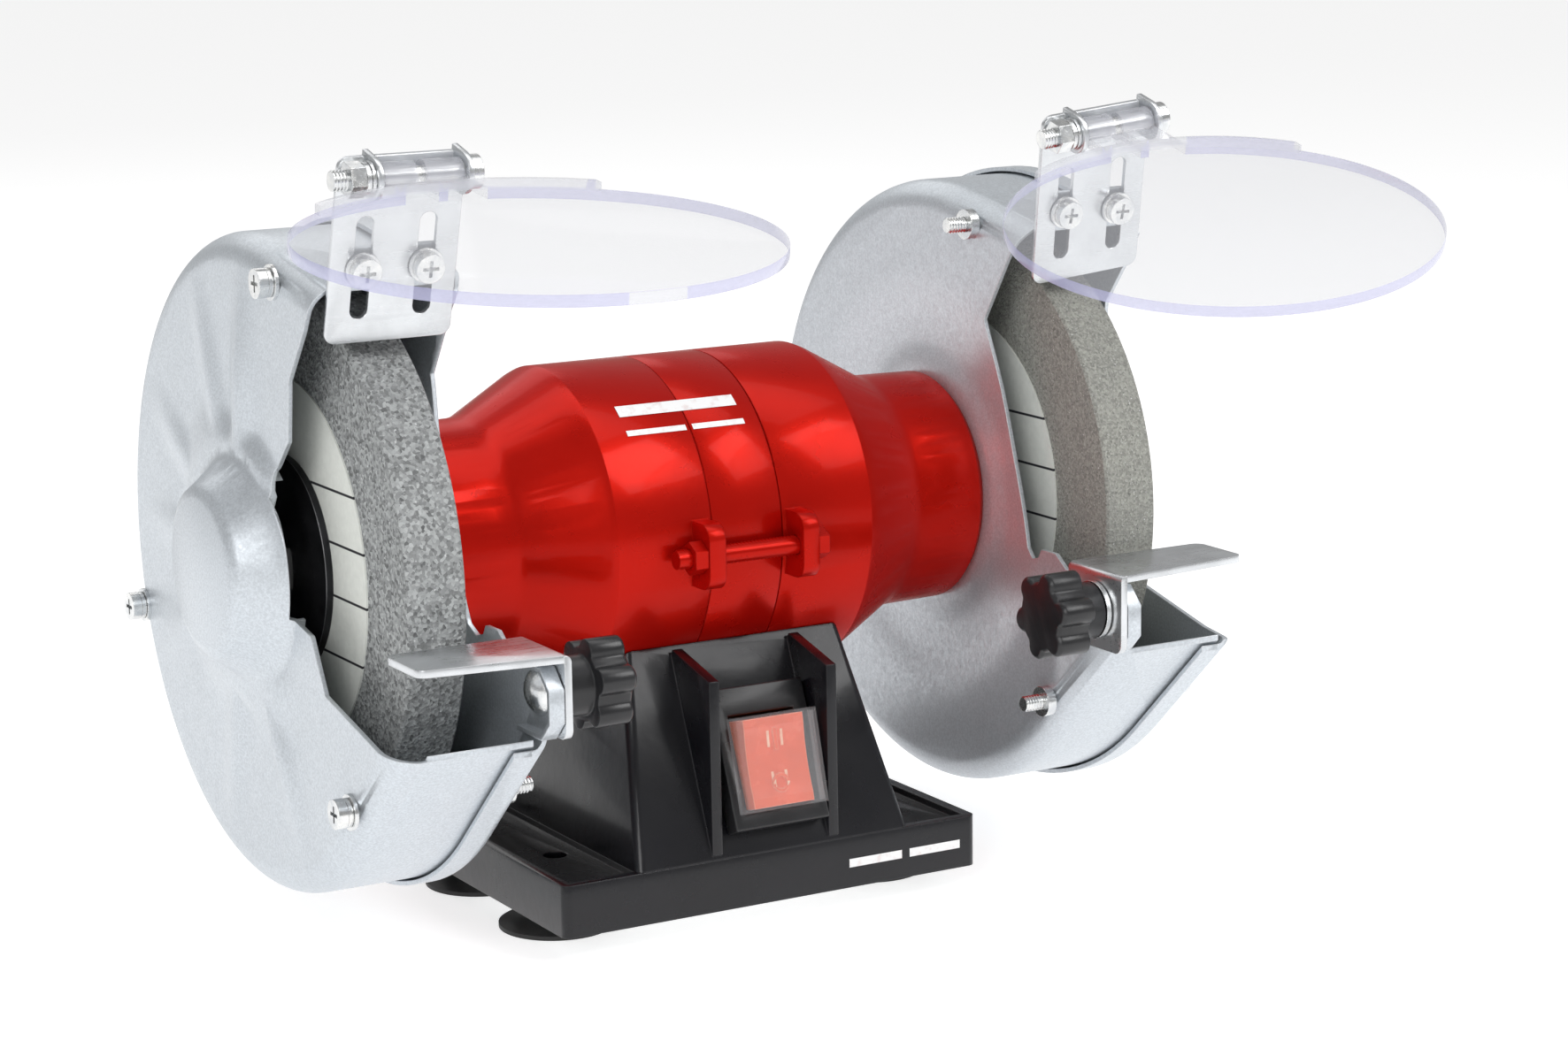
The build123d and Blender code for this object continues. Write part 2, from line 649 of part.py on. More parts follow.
# ---------------------------------------------------------------- tool rests
def tool_rest(side):
    """Right tool rest, at the reach of either side: a folded plate with a slotted leg."""
    reach = REST_REACH[side]
    leg_x = GUARD_IN - SIDE_CLEAR
    leg_in = leg_x - REST_T
    top = [
        (leg_in, REST_FRONT), (leg_in, REST_BACK), (reach, REST_BACK),
        (reach, REST_FRONT + 5.0),
    ]
    flat = make_face(Polyline(*[(x, y, REST_Z - REST_T) for x, y in top], close=True))
    rest = extrude(flat, amount=REST_T, dir=(0, 0, 1))
    tip = [e for e in rest.edges().filter_by(Axis.Z) if e.center().X > reach - 1]
    rest = fillet(tip, 3.0)
    leg = box((leg_in, leg_x), (REST_FRONT, REST_BACK), (73.7, REST_Z))
    low = [e for e in leg.edges().filter_by(Axis.X) if e.center().Z < 80]
    rest += fillet(low, 3.0)
    bend = [e for e in rest.edges().filter_by(Axis.Y)
            if abs(e.center().X - leg_in) < 0.01 and abs(e.center().Z - REST_Z) < 0.01]
    rest = fillet(bend, 1.8)
    half = CLAMP_R + 0.3
    slot = box((70, 90), (-95.0, -85.0), (CLAMP_Z - half, CLAMP_Z + half))
    slot += rod(half, 70, 90, -95.0, CLAMP_Z) + rod(half, 70, 90, -85.0, CLAMP_Z)
    return rest - slot


def carriage_bolt():
    """Bolt with a mushroom head and a square neck that cannot turn in the ear."""
    face = GUARD_IN + SHEET
    centre = (face, CLAMP_Y, CLAMP_Z)
    crown = (face + 3.2, CLAMP_Y, CLAMP_Z)
    edge = (face, CLAMP_Y, CLAMP_Z + 6.5)
    shoulder = (face + 2.2, CLAMP_Y, CLAMP_Z + 4.2)
    section = make_face([Line(centre, crown), ThreePointArc(crown, shoulder, edge), Line(edge, centre)])
    head = revolve(section, Axis(centre, (1, 0, 0)), 360)
    half = CLAMP_R + 0.2
    neck = box((GUARD_IN + 0.1, face), (CLAMP_Y - half, CLAMP_Y + half), (CLAMP_Z - half, CLAMP_Z + half))
    return head + neck + rod(CLAMP_R, GUARD_IN - 17.5, GUARD_IN + 0.1, CLAMP_Y, CLAMP_Z)


KNOB_END = GUARD_IN - SIDE_CLEAR - REST_T - SIDE_CLEAR - 1.4


def knob():
    """Six-lobed star knob with a long collar, turned to clamp the tool rest."""
    end = KNOB_END - 0.3
    collar = rod(7.8, end - 7.0, end, CLAMP_Y, CLAMP_Z)
    outline = Circle(9.6)
    for step in range(6):
        outline += PolarLocations(9.0, 1, 60 * step + 15) * Circle(3.5)
    outline = fillet(outline.vertices(), 1.2)
    face = Plane(origin=(end - 16.5, CLAMP_Y, CLAMP_Z), z_dir=(1, 0, 0)) * outline
    star = extrude(face, amount=10.0)
    star = chamfer(star.edges().group_by(Axis.X)[0], 0.9)
    return star + collar - rod(CLAMP_R + 0.05, GUARD_IN - 18.3, GUARD_IN, CLAMP_Y, CLAMP_Z)


# ---------------------------------------------------------------- eye shields
def side_shift(side):
    """The shield assemblies are the same part on both sides, moved, not mirrored."""
    return Pos(0 if side == "right" else -2 * SHIELD_X, 0, 0)


EAR_LEFT_U = -9.8
EAR_RIGHT_U = 14.4
PLATE_LOW = -20.0
PLATE_HIGH = 30.0


def shield_bracket(side):
    """Slotted plate with two ears that are bent forward and hold the hinge bolt."""
    flat = bracket_plane(BRACKET_SKEW[side])
    half = BRACKET_W / 2
    middle = (PLATE_LOW + PLATE_HIGH) / 2
    sheet = flat * Pos(0, middle, BRACKET_T / 2) * Box(BRACKET_W, PLATE_HIGH - PLATE_LOW, BRACKET_T)
    sheet = fillet(sheet.edges().filter_by(Axis(flat.origin, flat.z_dir)), 3.0)
    for u in (-SLOT_U, SLOT_U):
        slot = Box(SLOT_W, 27.5 - SLOT_W, 10) + Pos(0, 11.35, 0) * Cylinder(SLOT_W / 2, 10)
        slot += Pos(0, -11.35, 0) * Cylinder(SLOT_W / 2, 10)
        sheet -= flat * Pos(u, 0.3, 0) * slot
    for u in (EAR_LEFT_U, EAR_RIGHT_U):
        ear_plate = Pos(u, HINGE_V, HINGE_W / 2) * Box(BRACKET_T, 11.0, HINGE_W)
        ear_plate += Pos(u, HINGE_V, HINGE_W) * Rot(0, 90, 0) * Cylinder(5.5, BRACKET_T)
        ear_plate -= Pos(u, HINGE_V, HINGE_W) * Rot(0, 90, 0) * Cylinder(HINGE_R + 0.1, 10)
        sheet += flat * ear_plate
    return side_shift(side) * sheet


def hinge_line(side):
    """Plane on the hinge bolt: x along the bolt, y up the bracket, z forward."""
    flat = bracket_plane(BRACKET_SKEW[side])
    return flat * Pos(0, HINGE_V, HINGE_W)


def along_u(radius, u0, u1):
    """Cylinder along local x."""
    return Pos((u0 + u1) / 2, 0, 0) * Rot(0, 90, 0) * Cylinder(radius, abs(u1 - u0))


def hinge_bolt(side):
    """Long bolt through both ears and the shield's knuckles."""
    right = EAR_RIGHT_U + BRACKET_T / 2
    left = EAR_LEFT_U - BRACKET_T / 2
    bolt = along_u(HINGE_R, left - 10.5, right + 0.2) + along_u(4.4, right + 0.1, right + 3.1)
    bolt -= Pos(right + 3.1, 0, 0) * (Box(2.4, 0.9, 5.0) + Box(2.4, 5.0, 0.9))
    return side_shift(side) * (hinge_line(side) * bolt)


def hinge_nut(side):
    """Hex nut with a flat and a spring washer."""
    left = EAR_LEFT_U - BRACKET_T / 2
    hole = along_u(HINGE_R + 0.05, left - 20, left + 1)
    corner = 8.0 / math.sqrt(3)
    nut_face = Plane(origin=(left - 2.5, 0, 0), z_dir=(-1, 0, 0)) * RegularPolygon(corner, 6)
    pieces = [
        along_u(4.5, left - 1.1, left - 0.1) - hole,
        along_u(4.2, left - 2.4, left - 1.2) - hole,
        extrude(nut_face, amount=4.0) - hole,
    ]
    return group([side_shift(side) * (hinge_line(side) * piece) for piece in pieces])


def shield_line(side):
    """Plane of the shield's upper face through the hinge bolt: x along it, y up, z forward."""
    tilt = SHIELD_TILT[side] - BRACKET_LEAN
    return hinge_line(side) * Rot(tilt, 0, 0)


def eye_shield(side):
    """Clear oval shield with a raised rear lip and two hinge knuckles."""
    middle = Pos(SHIELD_SHIFT[side], SHIELD_FORWARD)
    oval = Ellipse(SHIELD_A, SHIELD_B)
    slab = Rot(90, 0, 0) * extrude(middle * oval, amount=SHIELD_T)
    clear = 0.4
    first = (EAR_LEFT_U + BRACKET_T / 2 + clear, 0.6)
    second = (3.0, EAR_RIGHT_U - BRACKET_T / 2 - clear)
    shield = slab
    back = SHIELD_FORWARD - SHIELD_B
    for u0, u1 in (first, second):
        knuckle = along_u(KNUCKLE_R, u0, u1)
        arm = Pos((u0 + u1) / 2, -1.5, (back + 3) / 2) * Box(u1 - u0, 3.0, back + 5)
        shield += knuckle + arm
    rim = extrude(middle * (oval - Ellipse(SHIELD_A - 2.5, SHIELD_B - 2.5)), amount=3.0)
    rim &= box((-38, 38), (0, 38), (-10, 10))
    shield += Pos(0, 2.4, 0) * (Rot(90, 0, 0) * rim)
    shield -= along_u(HINGE_R + 0.05, -30, 30)
    return side_shift(side) * (shield_line(side) * shield)


def bracket_screws(side):
    """Two pan-head screws with washers that clamp the bracket to the guard's lip."""
    flat = bracket_plane()
    pieces = []
    for u in (-SLOT_U, SLOT_U):
        screw = Pos(u, 0, -1.5) * Cylinder(2.0, 9.0) + Pos(u, 0, 4.1) * Cylinder(3.9, 2.4)
        screw -= Pos(u, 0, 5.3) * (Box(4.4, 0.9, 3.0) + Box(0.9, 4.4, 3.0))
        washer = Pos(u, 0, 2.3) * (Cylinder(4.6, 1.0) - Cylinder(2.1, 3))
        pieces += [side_shift(side) * (flat * screw), side_shift(side) * (flat * washer)]
    return pieces


# ---------------------------------------------------------------- parts inside the base
def base_inside():
    """Run capacitor, its clip, the terminal block and the cable gland."""
    capacitor = Pos(4, 14, 33) * Rot(0, 90, 0) * Cylinder(13.0, 46)
    clip = Pos(4, 14, 33) * Rot(0, 90, 0) * (Cylinder(14.2, 10) - Cylinder(13.05, 12))
    clip += box((0, 8), (8, 20), (FOOT_H + 1.5, 20)) - Pos(4, 14, 33) * Rot(0, 90, 0) * Cylinder(13.05, 12)
    block = box((-46, -34), (-13, 13), (FOOT_H + 1.5, FOOT_H + 9.5))
    for step in range(3):
        block -= Pos(-40, -8 + 8 * step, FOOT_H + 9) * Cylinder(2.2, 6)
    return capacitor, clip, block


def gland_plane():
    """Plane on the sloping back of the pedestal at the cable entry, z pointing out."""
    rise = SADDLE_Z - PLINTH_TOP
    run = BASE_Y - SADDLE_Y
    return Plane(origin=(0, -face_y(GLAND_Z), GLAND_Z), x_dir=(-1, 0, 0), z_dir=(0, rise, run))


def cable_gland():
    """Gland in the back wall of the pedestal, with a bore for the mains lead."""
    points = [(CABLE_R, -7.0), (GLAND_R, -7.0), (GLAND_R, 0.05), (10.0, 0.05), (10.0, 3.0), (6.6, 3.0),
              (5.4, 15.0), (CABLE_R, 15.0)]
    face = make_face(Polyline(*[(r, 0, z) for r, z in points], close=True))
    return gland_plane() * revolve(face, Axis.Z, 360)


# ---------------------------------------------------------------- export
def build_nodes():
    """All sub-parts by node name."""
    nodes = {
        "plinth": plinth(),
        "pedestal": pedestal(),
        "pedestal_screws": group([
            upright(1.45, x, y, PLINTH_TOP - 6.5, 32) + upright(3.4, x, y, PLINTH_TOP - 6.8, PLINTH_TOP - 4.5)
            for x, y in PEDESTAL_SCREWS
        ]),
        "base_bottom_plate": bottom_plate(),
        "rubber_feet": group([foot(x, y) for x in (-FOOT_X, FOOT_X) for y in (-FOOT_Y, FOOT_Y)]),
        "bottom_plate_screws": group([
            upright(1.4, x, y, FOOT_H + 0.1, PLINTH_TOP - 4.2)
            + upright(3.0, x, y, FOOT_H - 1.8, FOOT_H - 0.1)
            + upright(1.4, x, y, FOOT_H - 0.2, FOOT_H + 0.2)
            for x, y in PLATE_SCREWS
        ]),
        "switch_frame": switch_frame(),
        "switch_body": switch_body(),
        "rocker": rocker(),
        "rocker_cover": rocker_cover(),
        "right_end_bell": end_bell(),
        "left_end_bell": mirror(end_bell(), about=Plane.YZ),
        "stator_ring": tube(MOTOR_R, MOTOR_R - MOTOR_WALL, -RING_HALF, RING_HALF),
        "stator_core": stator_core(),
        "stator_windings": both_sides(tube(38.5, 27.5, 18.2, 29.0)),
        "shaft": shaft(),
        "rotor_core": rotor(),
        "cooling_fan": fan(),
        "grinding_wheel_left": on_side(grinding_wheel(), "left"),
        "grinding_wheel_right": grinding_wheel(),
        "wheel_labels": group([
            both_sides(tube(LABEL_R, SPINDLE_R + 0.3, WHEEL_IN - LABEL_T, WHEEL_IN)),
            both_sides(tube(LABEL_R, SPINDLE_R + 0.3, WHEEL_END, WHEEL_END + LABEL_T)),
        ]),
        "inner_clamp_flanges": both_sides(clamp_flange(True)),
        "outer_clamp_flanges": both_sides(clamp_flange(False)),
        "spindle_nuts": both_sides(
            hex_rod(19.0, WHEEL_END + LABEL_T + FLANGE_T, WHEEL_END + LABEL_T + FLANGE_T + 9.0)
            - rod(6.03, 110, 140)
        ),
        "wave_washers": both_sides(tube(17.0, 13.5, BEARING_X + 5.6, BEARING_X + 5.95)),
        "carriage_bolts": both_sides(carriage_bolt()),
        "rest_washers": both_sides(tube(8.0, CLAMP_R + 0.1, KNOB_END, KNOB_END + 1.4, CLAMP_Y, CLAMP_Z)),
    }
    outer, inner, balls = bearing()
    nodes["bearing_outer_rings"] = both_sides(outer)
    nodes["bearing_inner_rings"] = both_sides(inner)
    nodes["bearing_balls"] = group([both_sides(ball) for ball in balls])
    bolts, nuts = tie_bolts()
    nodes["tie_bolts"] = group(bolts)
    nodes["tie_nuts"] = group(nuts)
    screws, washers, nuts = cover_screws()
    nodes["cover_screws"] = group([both_sides(s) for s in screws])
    nodes["cover_washers"] = group([both_sides(s) for s in washers])
    nodes["cover_nuts"] = group([both_sides(s) for s in nuts])
    guard_screws = []
    for thread, head in zip(mount_holes(GUARD_IN - 8.0, GUARD_IN + 1.3, 1.85),
                            mount_holes(GUARD_IN + 1.25, GUARD_IN + 3.8, 3.8)):
        guard_screws.append(thread + head)
    nodes["guard_mount_screws"] = group([both_sides(s) for s in guard_screws])
    saddle_low = SHAFT_Z - math.sqrt((MOTOR_R + 3.3) ** 2 - 14.0 ** 2)
    saddle_top = SHAFT_Z - math.sqrt(MOTOR_R ** 2 - 14.0 ** 2)
    nodes["motor_mount_screws"] = group([
        upright(2.0, x, y, saddle_low - 2.5, saddle_top + 2.0)
        + upright(3.9, x, y, saddle_low - 4.9, saddle_low - 2.4)
        for x in (-26.0, 26.0) for y in (-14.0, 14.0)
    ])
    capacitor, clip, block = base_inside()
    nodes["run_capacitor"] = capacitor
    nodes["capacitor_clip"] = clip
    nodes["terminal_block"] = block
    nodes["cable_gland"] = cable_gland()
    nodes["bracket_screws"] = group(bracket_screws("left") + bracket_screws("right"))
    for side in SIDES:
        nodes[side + "_inner_guard"] = on_side(inner_guard(side), side)
        nodes[side + "_outer_cover"] = on_side(outer_cover(side), side)
        nodes[side + "_tool_rest"] = on_side(tool_rest(side), side)
        nodes[side + "_rest_knob"] = on_side(knob(), side)
        nodes[side + "_shield_bracket"] = shield_bracket(side)
        nodes[side + "_hinge_bolt"] = hinge_bolt(side)
        nodes[side + "_hinge_nut"] = hinge_nut(side)
        nodes[side + "_eye_shield"] = eye_shield(side)
    return nodes


def main():
    os.makedirs("parts", exist_ok=True)
    for name, shape in build_nodes().items():
        export_step(shape, f"parts/{name}.step")


main()
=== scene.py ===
import json
import math

import bmesh
import bpy
from mathutils import Matrix, Vector
from mathutils.bvhtree import BVHTree


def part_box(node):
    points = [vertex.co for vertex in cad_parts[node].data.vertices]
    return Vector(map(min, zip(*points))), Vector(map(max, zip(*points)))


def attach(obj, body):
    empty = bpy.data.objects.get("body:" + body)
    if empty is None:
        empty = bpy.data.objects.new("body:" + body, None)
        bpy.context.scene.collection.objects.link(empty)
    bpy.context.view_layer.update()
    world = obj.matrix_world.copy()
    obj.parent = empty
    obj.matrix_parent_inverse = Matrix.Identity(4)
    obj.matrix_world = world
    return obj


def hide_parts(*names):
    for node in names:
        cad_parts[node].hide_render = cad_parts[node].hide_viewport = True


bl_info = {
    "name": "Bench Grinder Dresser",
    "version": (1, 0, 0),
    "blender": (4, 5, 0),
    "location": "View3D > Sidebar > Grinder",
    "description": "Finishes the packed bench grinder: pressed covers, threads, shields and paint",
    "category": "Object",
}

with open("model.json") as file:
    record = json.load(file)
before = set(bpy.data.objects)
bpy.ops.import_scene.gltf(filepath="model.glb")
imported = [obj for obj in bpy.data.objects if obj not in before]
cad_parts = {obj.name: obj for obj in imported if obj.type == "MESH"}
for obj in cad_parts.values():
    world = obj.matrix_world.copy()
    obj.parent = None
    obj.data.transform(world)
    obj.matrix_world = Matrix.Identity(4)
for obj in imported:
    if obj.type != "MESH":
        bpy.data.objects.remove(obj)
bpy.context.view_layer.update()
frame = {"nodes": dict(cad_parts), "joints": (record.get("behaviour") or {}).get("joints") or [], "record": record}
SHAFT = Vector((0.0, 0.0, 0.105))
SIDES = {"left": -1.0, "right": 1.0}

# ------------------------------------------------------------------ measures, in metres and degrees
# outer covers: the skins of the flat wall in |x|, and the step and reach of the grid it is pressed on
COVER_WALL = (0.1235, 0.1268)
COVER_GRID = (0.0024, 0.0935)
COVER_BOLTS = ((-0.026, 0.0785), (-0.0645, -0.052), (0.079, -0.025))
# the pressing grows from nothing to full depth between these distances from a cover screw
BOLT_SEAT = (0.0055, 0.012)
# the skirt round the hub: the hub's foot, the three corners, and how wide a corner spreads
HUB_FOOT = 0.033
SKIRT_CORNERS = (48.0, -42.0, -118.0)
CORNER_SPREAD = (5.0, 48.0)
# the pressing fades in between these turns away from the window in the cover
WINDOW_CLEAR = (30.0, 62.0)
# ridges: middle, half width, strength, reach
RIDGES = (
    (94.0, 17.0, 1.0, 0.086), (68.0, 15.0, 0.60, 0.088), (30.0, 14.0, 0.45, 0.082), (2.0, 14.0, 0.40, 0.080),
    (-28.0, 15.0, 0.45, 0.082), (-76.0, 16.0, 0.55, 0.086), (-114.0, 13.0, 0.85, 0.084),
)
# inner guards: where the wall ends in |x|, the part of it near the neck, its grid, and the dish
GUARD_WALL = 0.0875
GUARD_NEAR = 0.075
GUARD_GRID = (0.003, 0.066)
DISH_RISE = (0.0345, 0.041)
DISH_FALL = (0.047, 0.062)
# eye shields: half axes of the oval, and half the depth in which a face still belongs to it
OVAL_A = 0.0595
OVAL_B = 0.052
OVAL_LEVEL = 0.0035
# threads: radius, run and pitch; where they start; how far a ridge sinks into its screw
TIE_THREAD = (0.0025, 0.0375, 0.0011)
TIE_INSET = 0.0044
TIE_START = 0.0005
COVER_THREAD = (0.0020, 0.0058, 0.0009)
COVER_THREAD_START = 0.0765
COVER_DEPTH = 0.12
HINGE_THREAD = (0.0025, 0.0037, 0.0009)
HINGE_THREAD_START = 0.0210
THREAD_SINK = 0.00012
TURN_STEPS = 18
# marks: lift off the paint, bars on the motor (x0, x1, turn, width) and on the plinth (x0, x1)
PRINT_LIFT = 0.00012
MOTOR_BARS = ((-0.0300, 0.0060, 128.0, 5.0), (-0.0300, -0.0120, 137.5, 2.2), (-0.0100, 0.0060, 137.5, 2.2))
PLINTH_BARS = ((0.0230, 0.0400), (0.0425, 0.0590))
PLINTH_BAR_HEIGHTS = (0.0128, 0.0152)
# strokes on the rocker: its face's directions, then their places, half width, step and lift
ROCKER_OUT = Vector((0.0, -0.9254, 0.3789))
ROCKER_UP = Vector((0.0, 0.3789, 0.9254))
STROKE_HEIGHTS = (-0.0055, 0.0055)
STROKE_PLACES = (-0.0021, 0.0021)
STROKE_HALF = 0.0004
STROKE_STEP = 0.0011
STROKE_LIFT = 0.00008
STROKE_AIM = 0.03
# castings: node, name of the piece, share of the edge rounding, least turn of a rounded edge in radians
CASTINGS = (
    ("left_end_bell", "left_bell_cast", 1.0, 0.35), ("right_end_bell", "right_bell_cast", 1.0, 0.35),
    ("stator_ring", "middle_ring_cast", 0.8, 0.6), ("plinth", "plinth_cast", 1.6, 0.6),
    ("pedestal", "pedestal_cast", 1.2, 0.6), ("switch_frame", "switch_frame_moulded", 1.0, 0.6),
)
# stage: glow of the floor and the world, and the camera's direction, roll and target
FLOOR_GLOW = 0.64
WORLD_STRENGTH = 0.38
CAMERA_AZIMUTH = -29.86
CAMERA_HEIGHT = 11.25
CAMERA_ROLL = -0.82
CAMERA_TARGET = (0.03745, 0.0, 0.09907)
# name, place, target, width, depth, power
LIGHTS = (
    ("left_softbox", (-1.3, -1.2, 1.0), (0.0, 0.0, 0.10), 0.9, 0.9, 11.0),
    ("right_softbox", (0.85, -0.95, 1.20), (0.0, 0.0, 0.10), 0.8, 0.8, 11.0),
    ("top_softbox", (0.1, 0.1, 1.5), (0.0, 0.0, 0.10), 1.6, 0.7, 6.0),
    ("back_wash", (0.0, 1.6, 1.2), (0.0, 0.0, 0.10), 1.6, 0.8, 4.0),
)


# ------------------------------------------------------------------ settings
def colour(name, default, about):
    """A colour property of the panel."""
    return bpy.props.FloatVectorProperty(
        name=name, description=about, subtype="COLOR", size=3, min=0.0, max=1.0, default=default
    )


def length(name, default, about):
    """A length property of the panel, in metres."""
    return bpy.props.FloatProperty(
        name=name, description=about, subtype="DISTANCE", unit="LENGTH", default=default
    )


class GrinderColours(bpy.types.PropertyGroup):
    motor: colour("Motor red", (0.52, 0.006, 0.003), "Paint of the motor housing")
    guard: colour("Guard silver", (0.62, 0.66, 0.70), "Hammered paint of the guards")
    base: colour("Base black", (0.006, 0.006, 0.008), "Paint of the plinth and pedestal")
    zinc: colour("Zinc", (0.73, 0.75, 0.77), "Plating of screws, rests and brackets")
    grain: colour("Abrasive", (0.30, 0.31, 0.31), "Grains of the wheels")
    paper: colour("Label paper", (0.80, 0.82, 0.77), "Paper discs on the wheels")
    shield: colour("Shield edge", (0.50, 0.50, 0.74), "Tint where the clear shield is seen edge-on")
    rocker: colour("Rocker red", (0.80, 0.11, 0.035), "Plastic of the switch rocker")
    floor: colour("Floor", (0.93, 0.93, 0.93), "Studio floor")


class GrinderSizes(bpy.types.PropertyGroup):
    edge: length("Edge rounding", 0.00045, "Rounding of the castings' edges")
    sheet_edge: length("Sheet edge rounding", 0.00022, "Rounding of the sheet metal's cut edges")
    press: length("Pressing depth", 0.0032, "Depth of the ribs pressed into the outer covers")
    dish: length("Dish depth", 0.0018, "Depth of the dish round the motor neck in the inner guards")
    thread: length("Thread height", 0.00028, "Height of the thread ridges")
    floor_span: length("Floor span", 40.0, "Side of the studio floor")
    camera_distance: length("Camera distance", 1.0577, "From the camera to the point it looks at")
    lens: bpy.props.FloatProperty(name="Lens", description="Focal length in millimetres", default=84.78)


# ------------------------------------------------------------------ node wiring
class Paint:
    """Builds one procedural material on object coordinates, node by node."""

    def __init__(self, name, metallic=0.0, coat=0.0, coat_roughness=0.08):
        self.material = bpy.data.materials.new(name)
        self.material.use_nodes = True
        self.tree = self.material.node_tree
        self.bsdf = self.tree.nodes["Principled BSDF"]
        self.place = self.tree.nodes.new("ShaderNodeTexCoord").outputs["Object"]
        self.normal = None
        self.shade("Metallic", metallic)
        self.shade("Coat Weight", coat)
        self.shade("Coat Roughness", coat_roughness)

    def shade(self, name, value):
        """Sets one uniform value on the shader itself."""
        self.bsdf.inputs[name].default_value = value

    def feed(self, socket, value):
        """Links a socket to another one, or gives it a number or a colour."""
        if isinstance(value, bpy.types.NodeSocket):
            self.tree.links.new(value, socket)
        elif isinstance(value, (int, float)):
            socket.default_value = value
        else:
            socket.default_value = (*value[:3], 1.0)

    def node(self, kind, **values):
        """Adds a node, sets its properties, and feeds its inputs."""
        made = self.tree.nodes.new(kind)
        for key, value in values.items():
            if hasattr(made, key):
                setattr(made, key, value)
            else:
                self.feed(made.inputs[key.replace("_", " ")], value)
        return made

    def stretched(self, x, y, z):
        """Object coordinates with a scale on each axis."""
        mapping = self.node("ShaderNodeMapping", Vector=self.place)
        mapping.inputs["Scale"].default_value = (x, y, z)
        return mapping.outputs["Vector"]

    def noise(self, scale, detail=3.0, rough=0.55, where=None):
        """Fractal noise."""
        made = self.node(
            "ShaderNodeTexNoise", Vector=where or self.place, Scale=scale, Detail=detail, Roughness=rough
        )
        return made.outputs["Fac"]

    def grains(self, scale, output="Distance"):
        """Cells, such as abrasive grains."""
        made = self.node("ShaderNodeTexVoronoi", Vector=self.place, Scale=scale)
        return made.outputs[output]

    def remap(self, value, low, high, to_low=0.0, to_high=1.0):
        """A value moved from one range to another, clamped."""
        made = self.node("ShaderNodeMapRange", Value=value)
        made.inputs["From Min"].default_value = low
        made.inputs["From Max"].default_value = high
        made.inputs["To Min"].default_value = to_low
        made.inputs["To Max"].default_value = to_high
        return made.outputs["Result"]

    def maths(self, operation, first, second=0.0):
        """One maths step on one or two values."""
        made = self.node("ShaderNodeMath", operation=operation)
        self.feed(made.inputs[0], first)
        self.feed(made.inputs[1], second)
        return made.outputs[0]

    def mix(self, amount, first, second):
        """Two colours mixed by an amount."""
        made = self.tree.nodes.new("ShaderNodeMix")
        made.data_type = "RGBA"
        self.feed(made.inputs[0], amount)
        self.feed(made.inputs[6], first)
        self.feed(made.inputs[7], second)
        return made.outputs[2]

    def bump(self, height, distance, strength=1.0):
        """Adds a layer of relief on top of those before it."""
        made = self.node("ShaderNodeBump", Height=height, Distance=distance, Strength=strength)
        if self.normal is not None:
            self.tree.links.new(self.normal, made.inputs["Normal"])
        self.normal = made.outputs["Normal"]

    def edges(self, radius=0.0006):
        """How sharply the surface turns, as a mask of worn edges, and the rounded normal."""
        rounded = self.node("ShaderNodeBevel", samples=4, Radius=radius).outputs["Normal"]
        flat = self.node("ShaderNodeNewGeometry").outputs["Normal"]
        made = self.node("ShaderNodeVectorMath", operation="DOT_PRODUCT")
        self.tree.links.new(rounded, made.inputs[0])
        self.tree.links.new(flat, made.inputs[1])
        self.normal = rounded
        return self.remap(made.outputs["Value"], 0.985, 0.90)

    def use(self, base, roughness):
        """Joins colour, roughness and relief to the shader."""
        self.feed(self.bsdf.inputs["Base Color"], base)
        self.feed(self.bsdf.inputs["Roughness"], roughness)
        if self.normal is not None:
            self.tree.links.new(self.normal, self.bsdf.inputs["Normal"])
        return self.material


def scaled(shade, factor):
    """A colour made darker or lighter."""
    return tuple(min(1.0, c * factor) for c in shade[:3])


FINISHES = {}


def finish_named(name):
    """The finish called name, made when it is first asked for."""
    if name not in FINISHES:
        FINISHES[name] = RECIPES[name](bpy.context.scene.grinder_colours)
    return FINISHES[name]


# ------------------------------------------------------------------ finishes
def motor_enamel(colours):
    """Thick gloss enamel over a casting: slight orange peel, dust in the pores, thin at edges."""
    paint = Paint("motor_enamel", metallic=0.45, coat=0.10, coat_roughness=0.08)
    paint.shade("Specular IOR Level", 0.25)
    paint.shade("Specular Tint", (1.0, 0.30, 0.12, 1.0))
    worn = paint.edges(0.0005)
    cloud = paint.remap(paint.noise(9.0, 4.0), 0.3, 0.7)
    base = paint.mix(cloud, scaled(colours.motor, 0.86), scaled(colours.motor, 1.06))
    base = paint.mix(paint.maths("MULTIPLY", worn, 0.35), base, scaled(colours.motor, 0.55))
    paint.bump(paint.noise(260.0, 2.0), 0.00008, 0.45)
    paint.bump(paint.noise(45.0, 2.0), 0.0003, 0.15)
    return paint.use(base, paint.remap(paint.noise(60.0, 5.0), 0.3, 0.75, 0.24, 0.36))


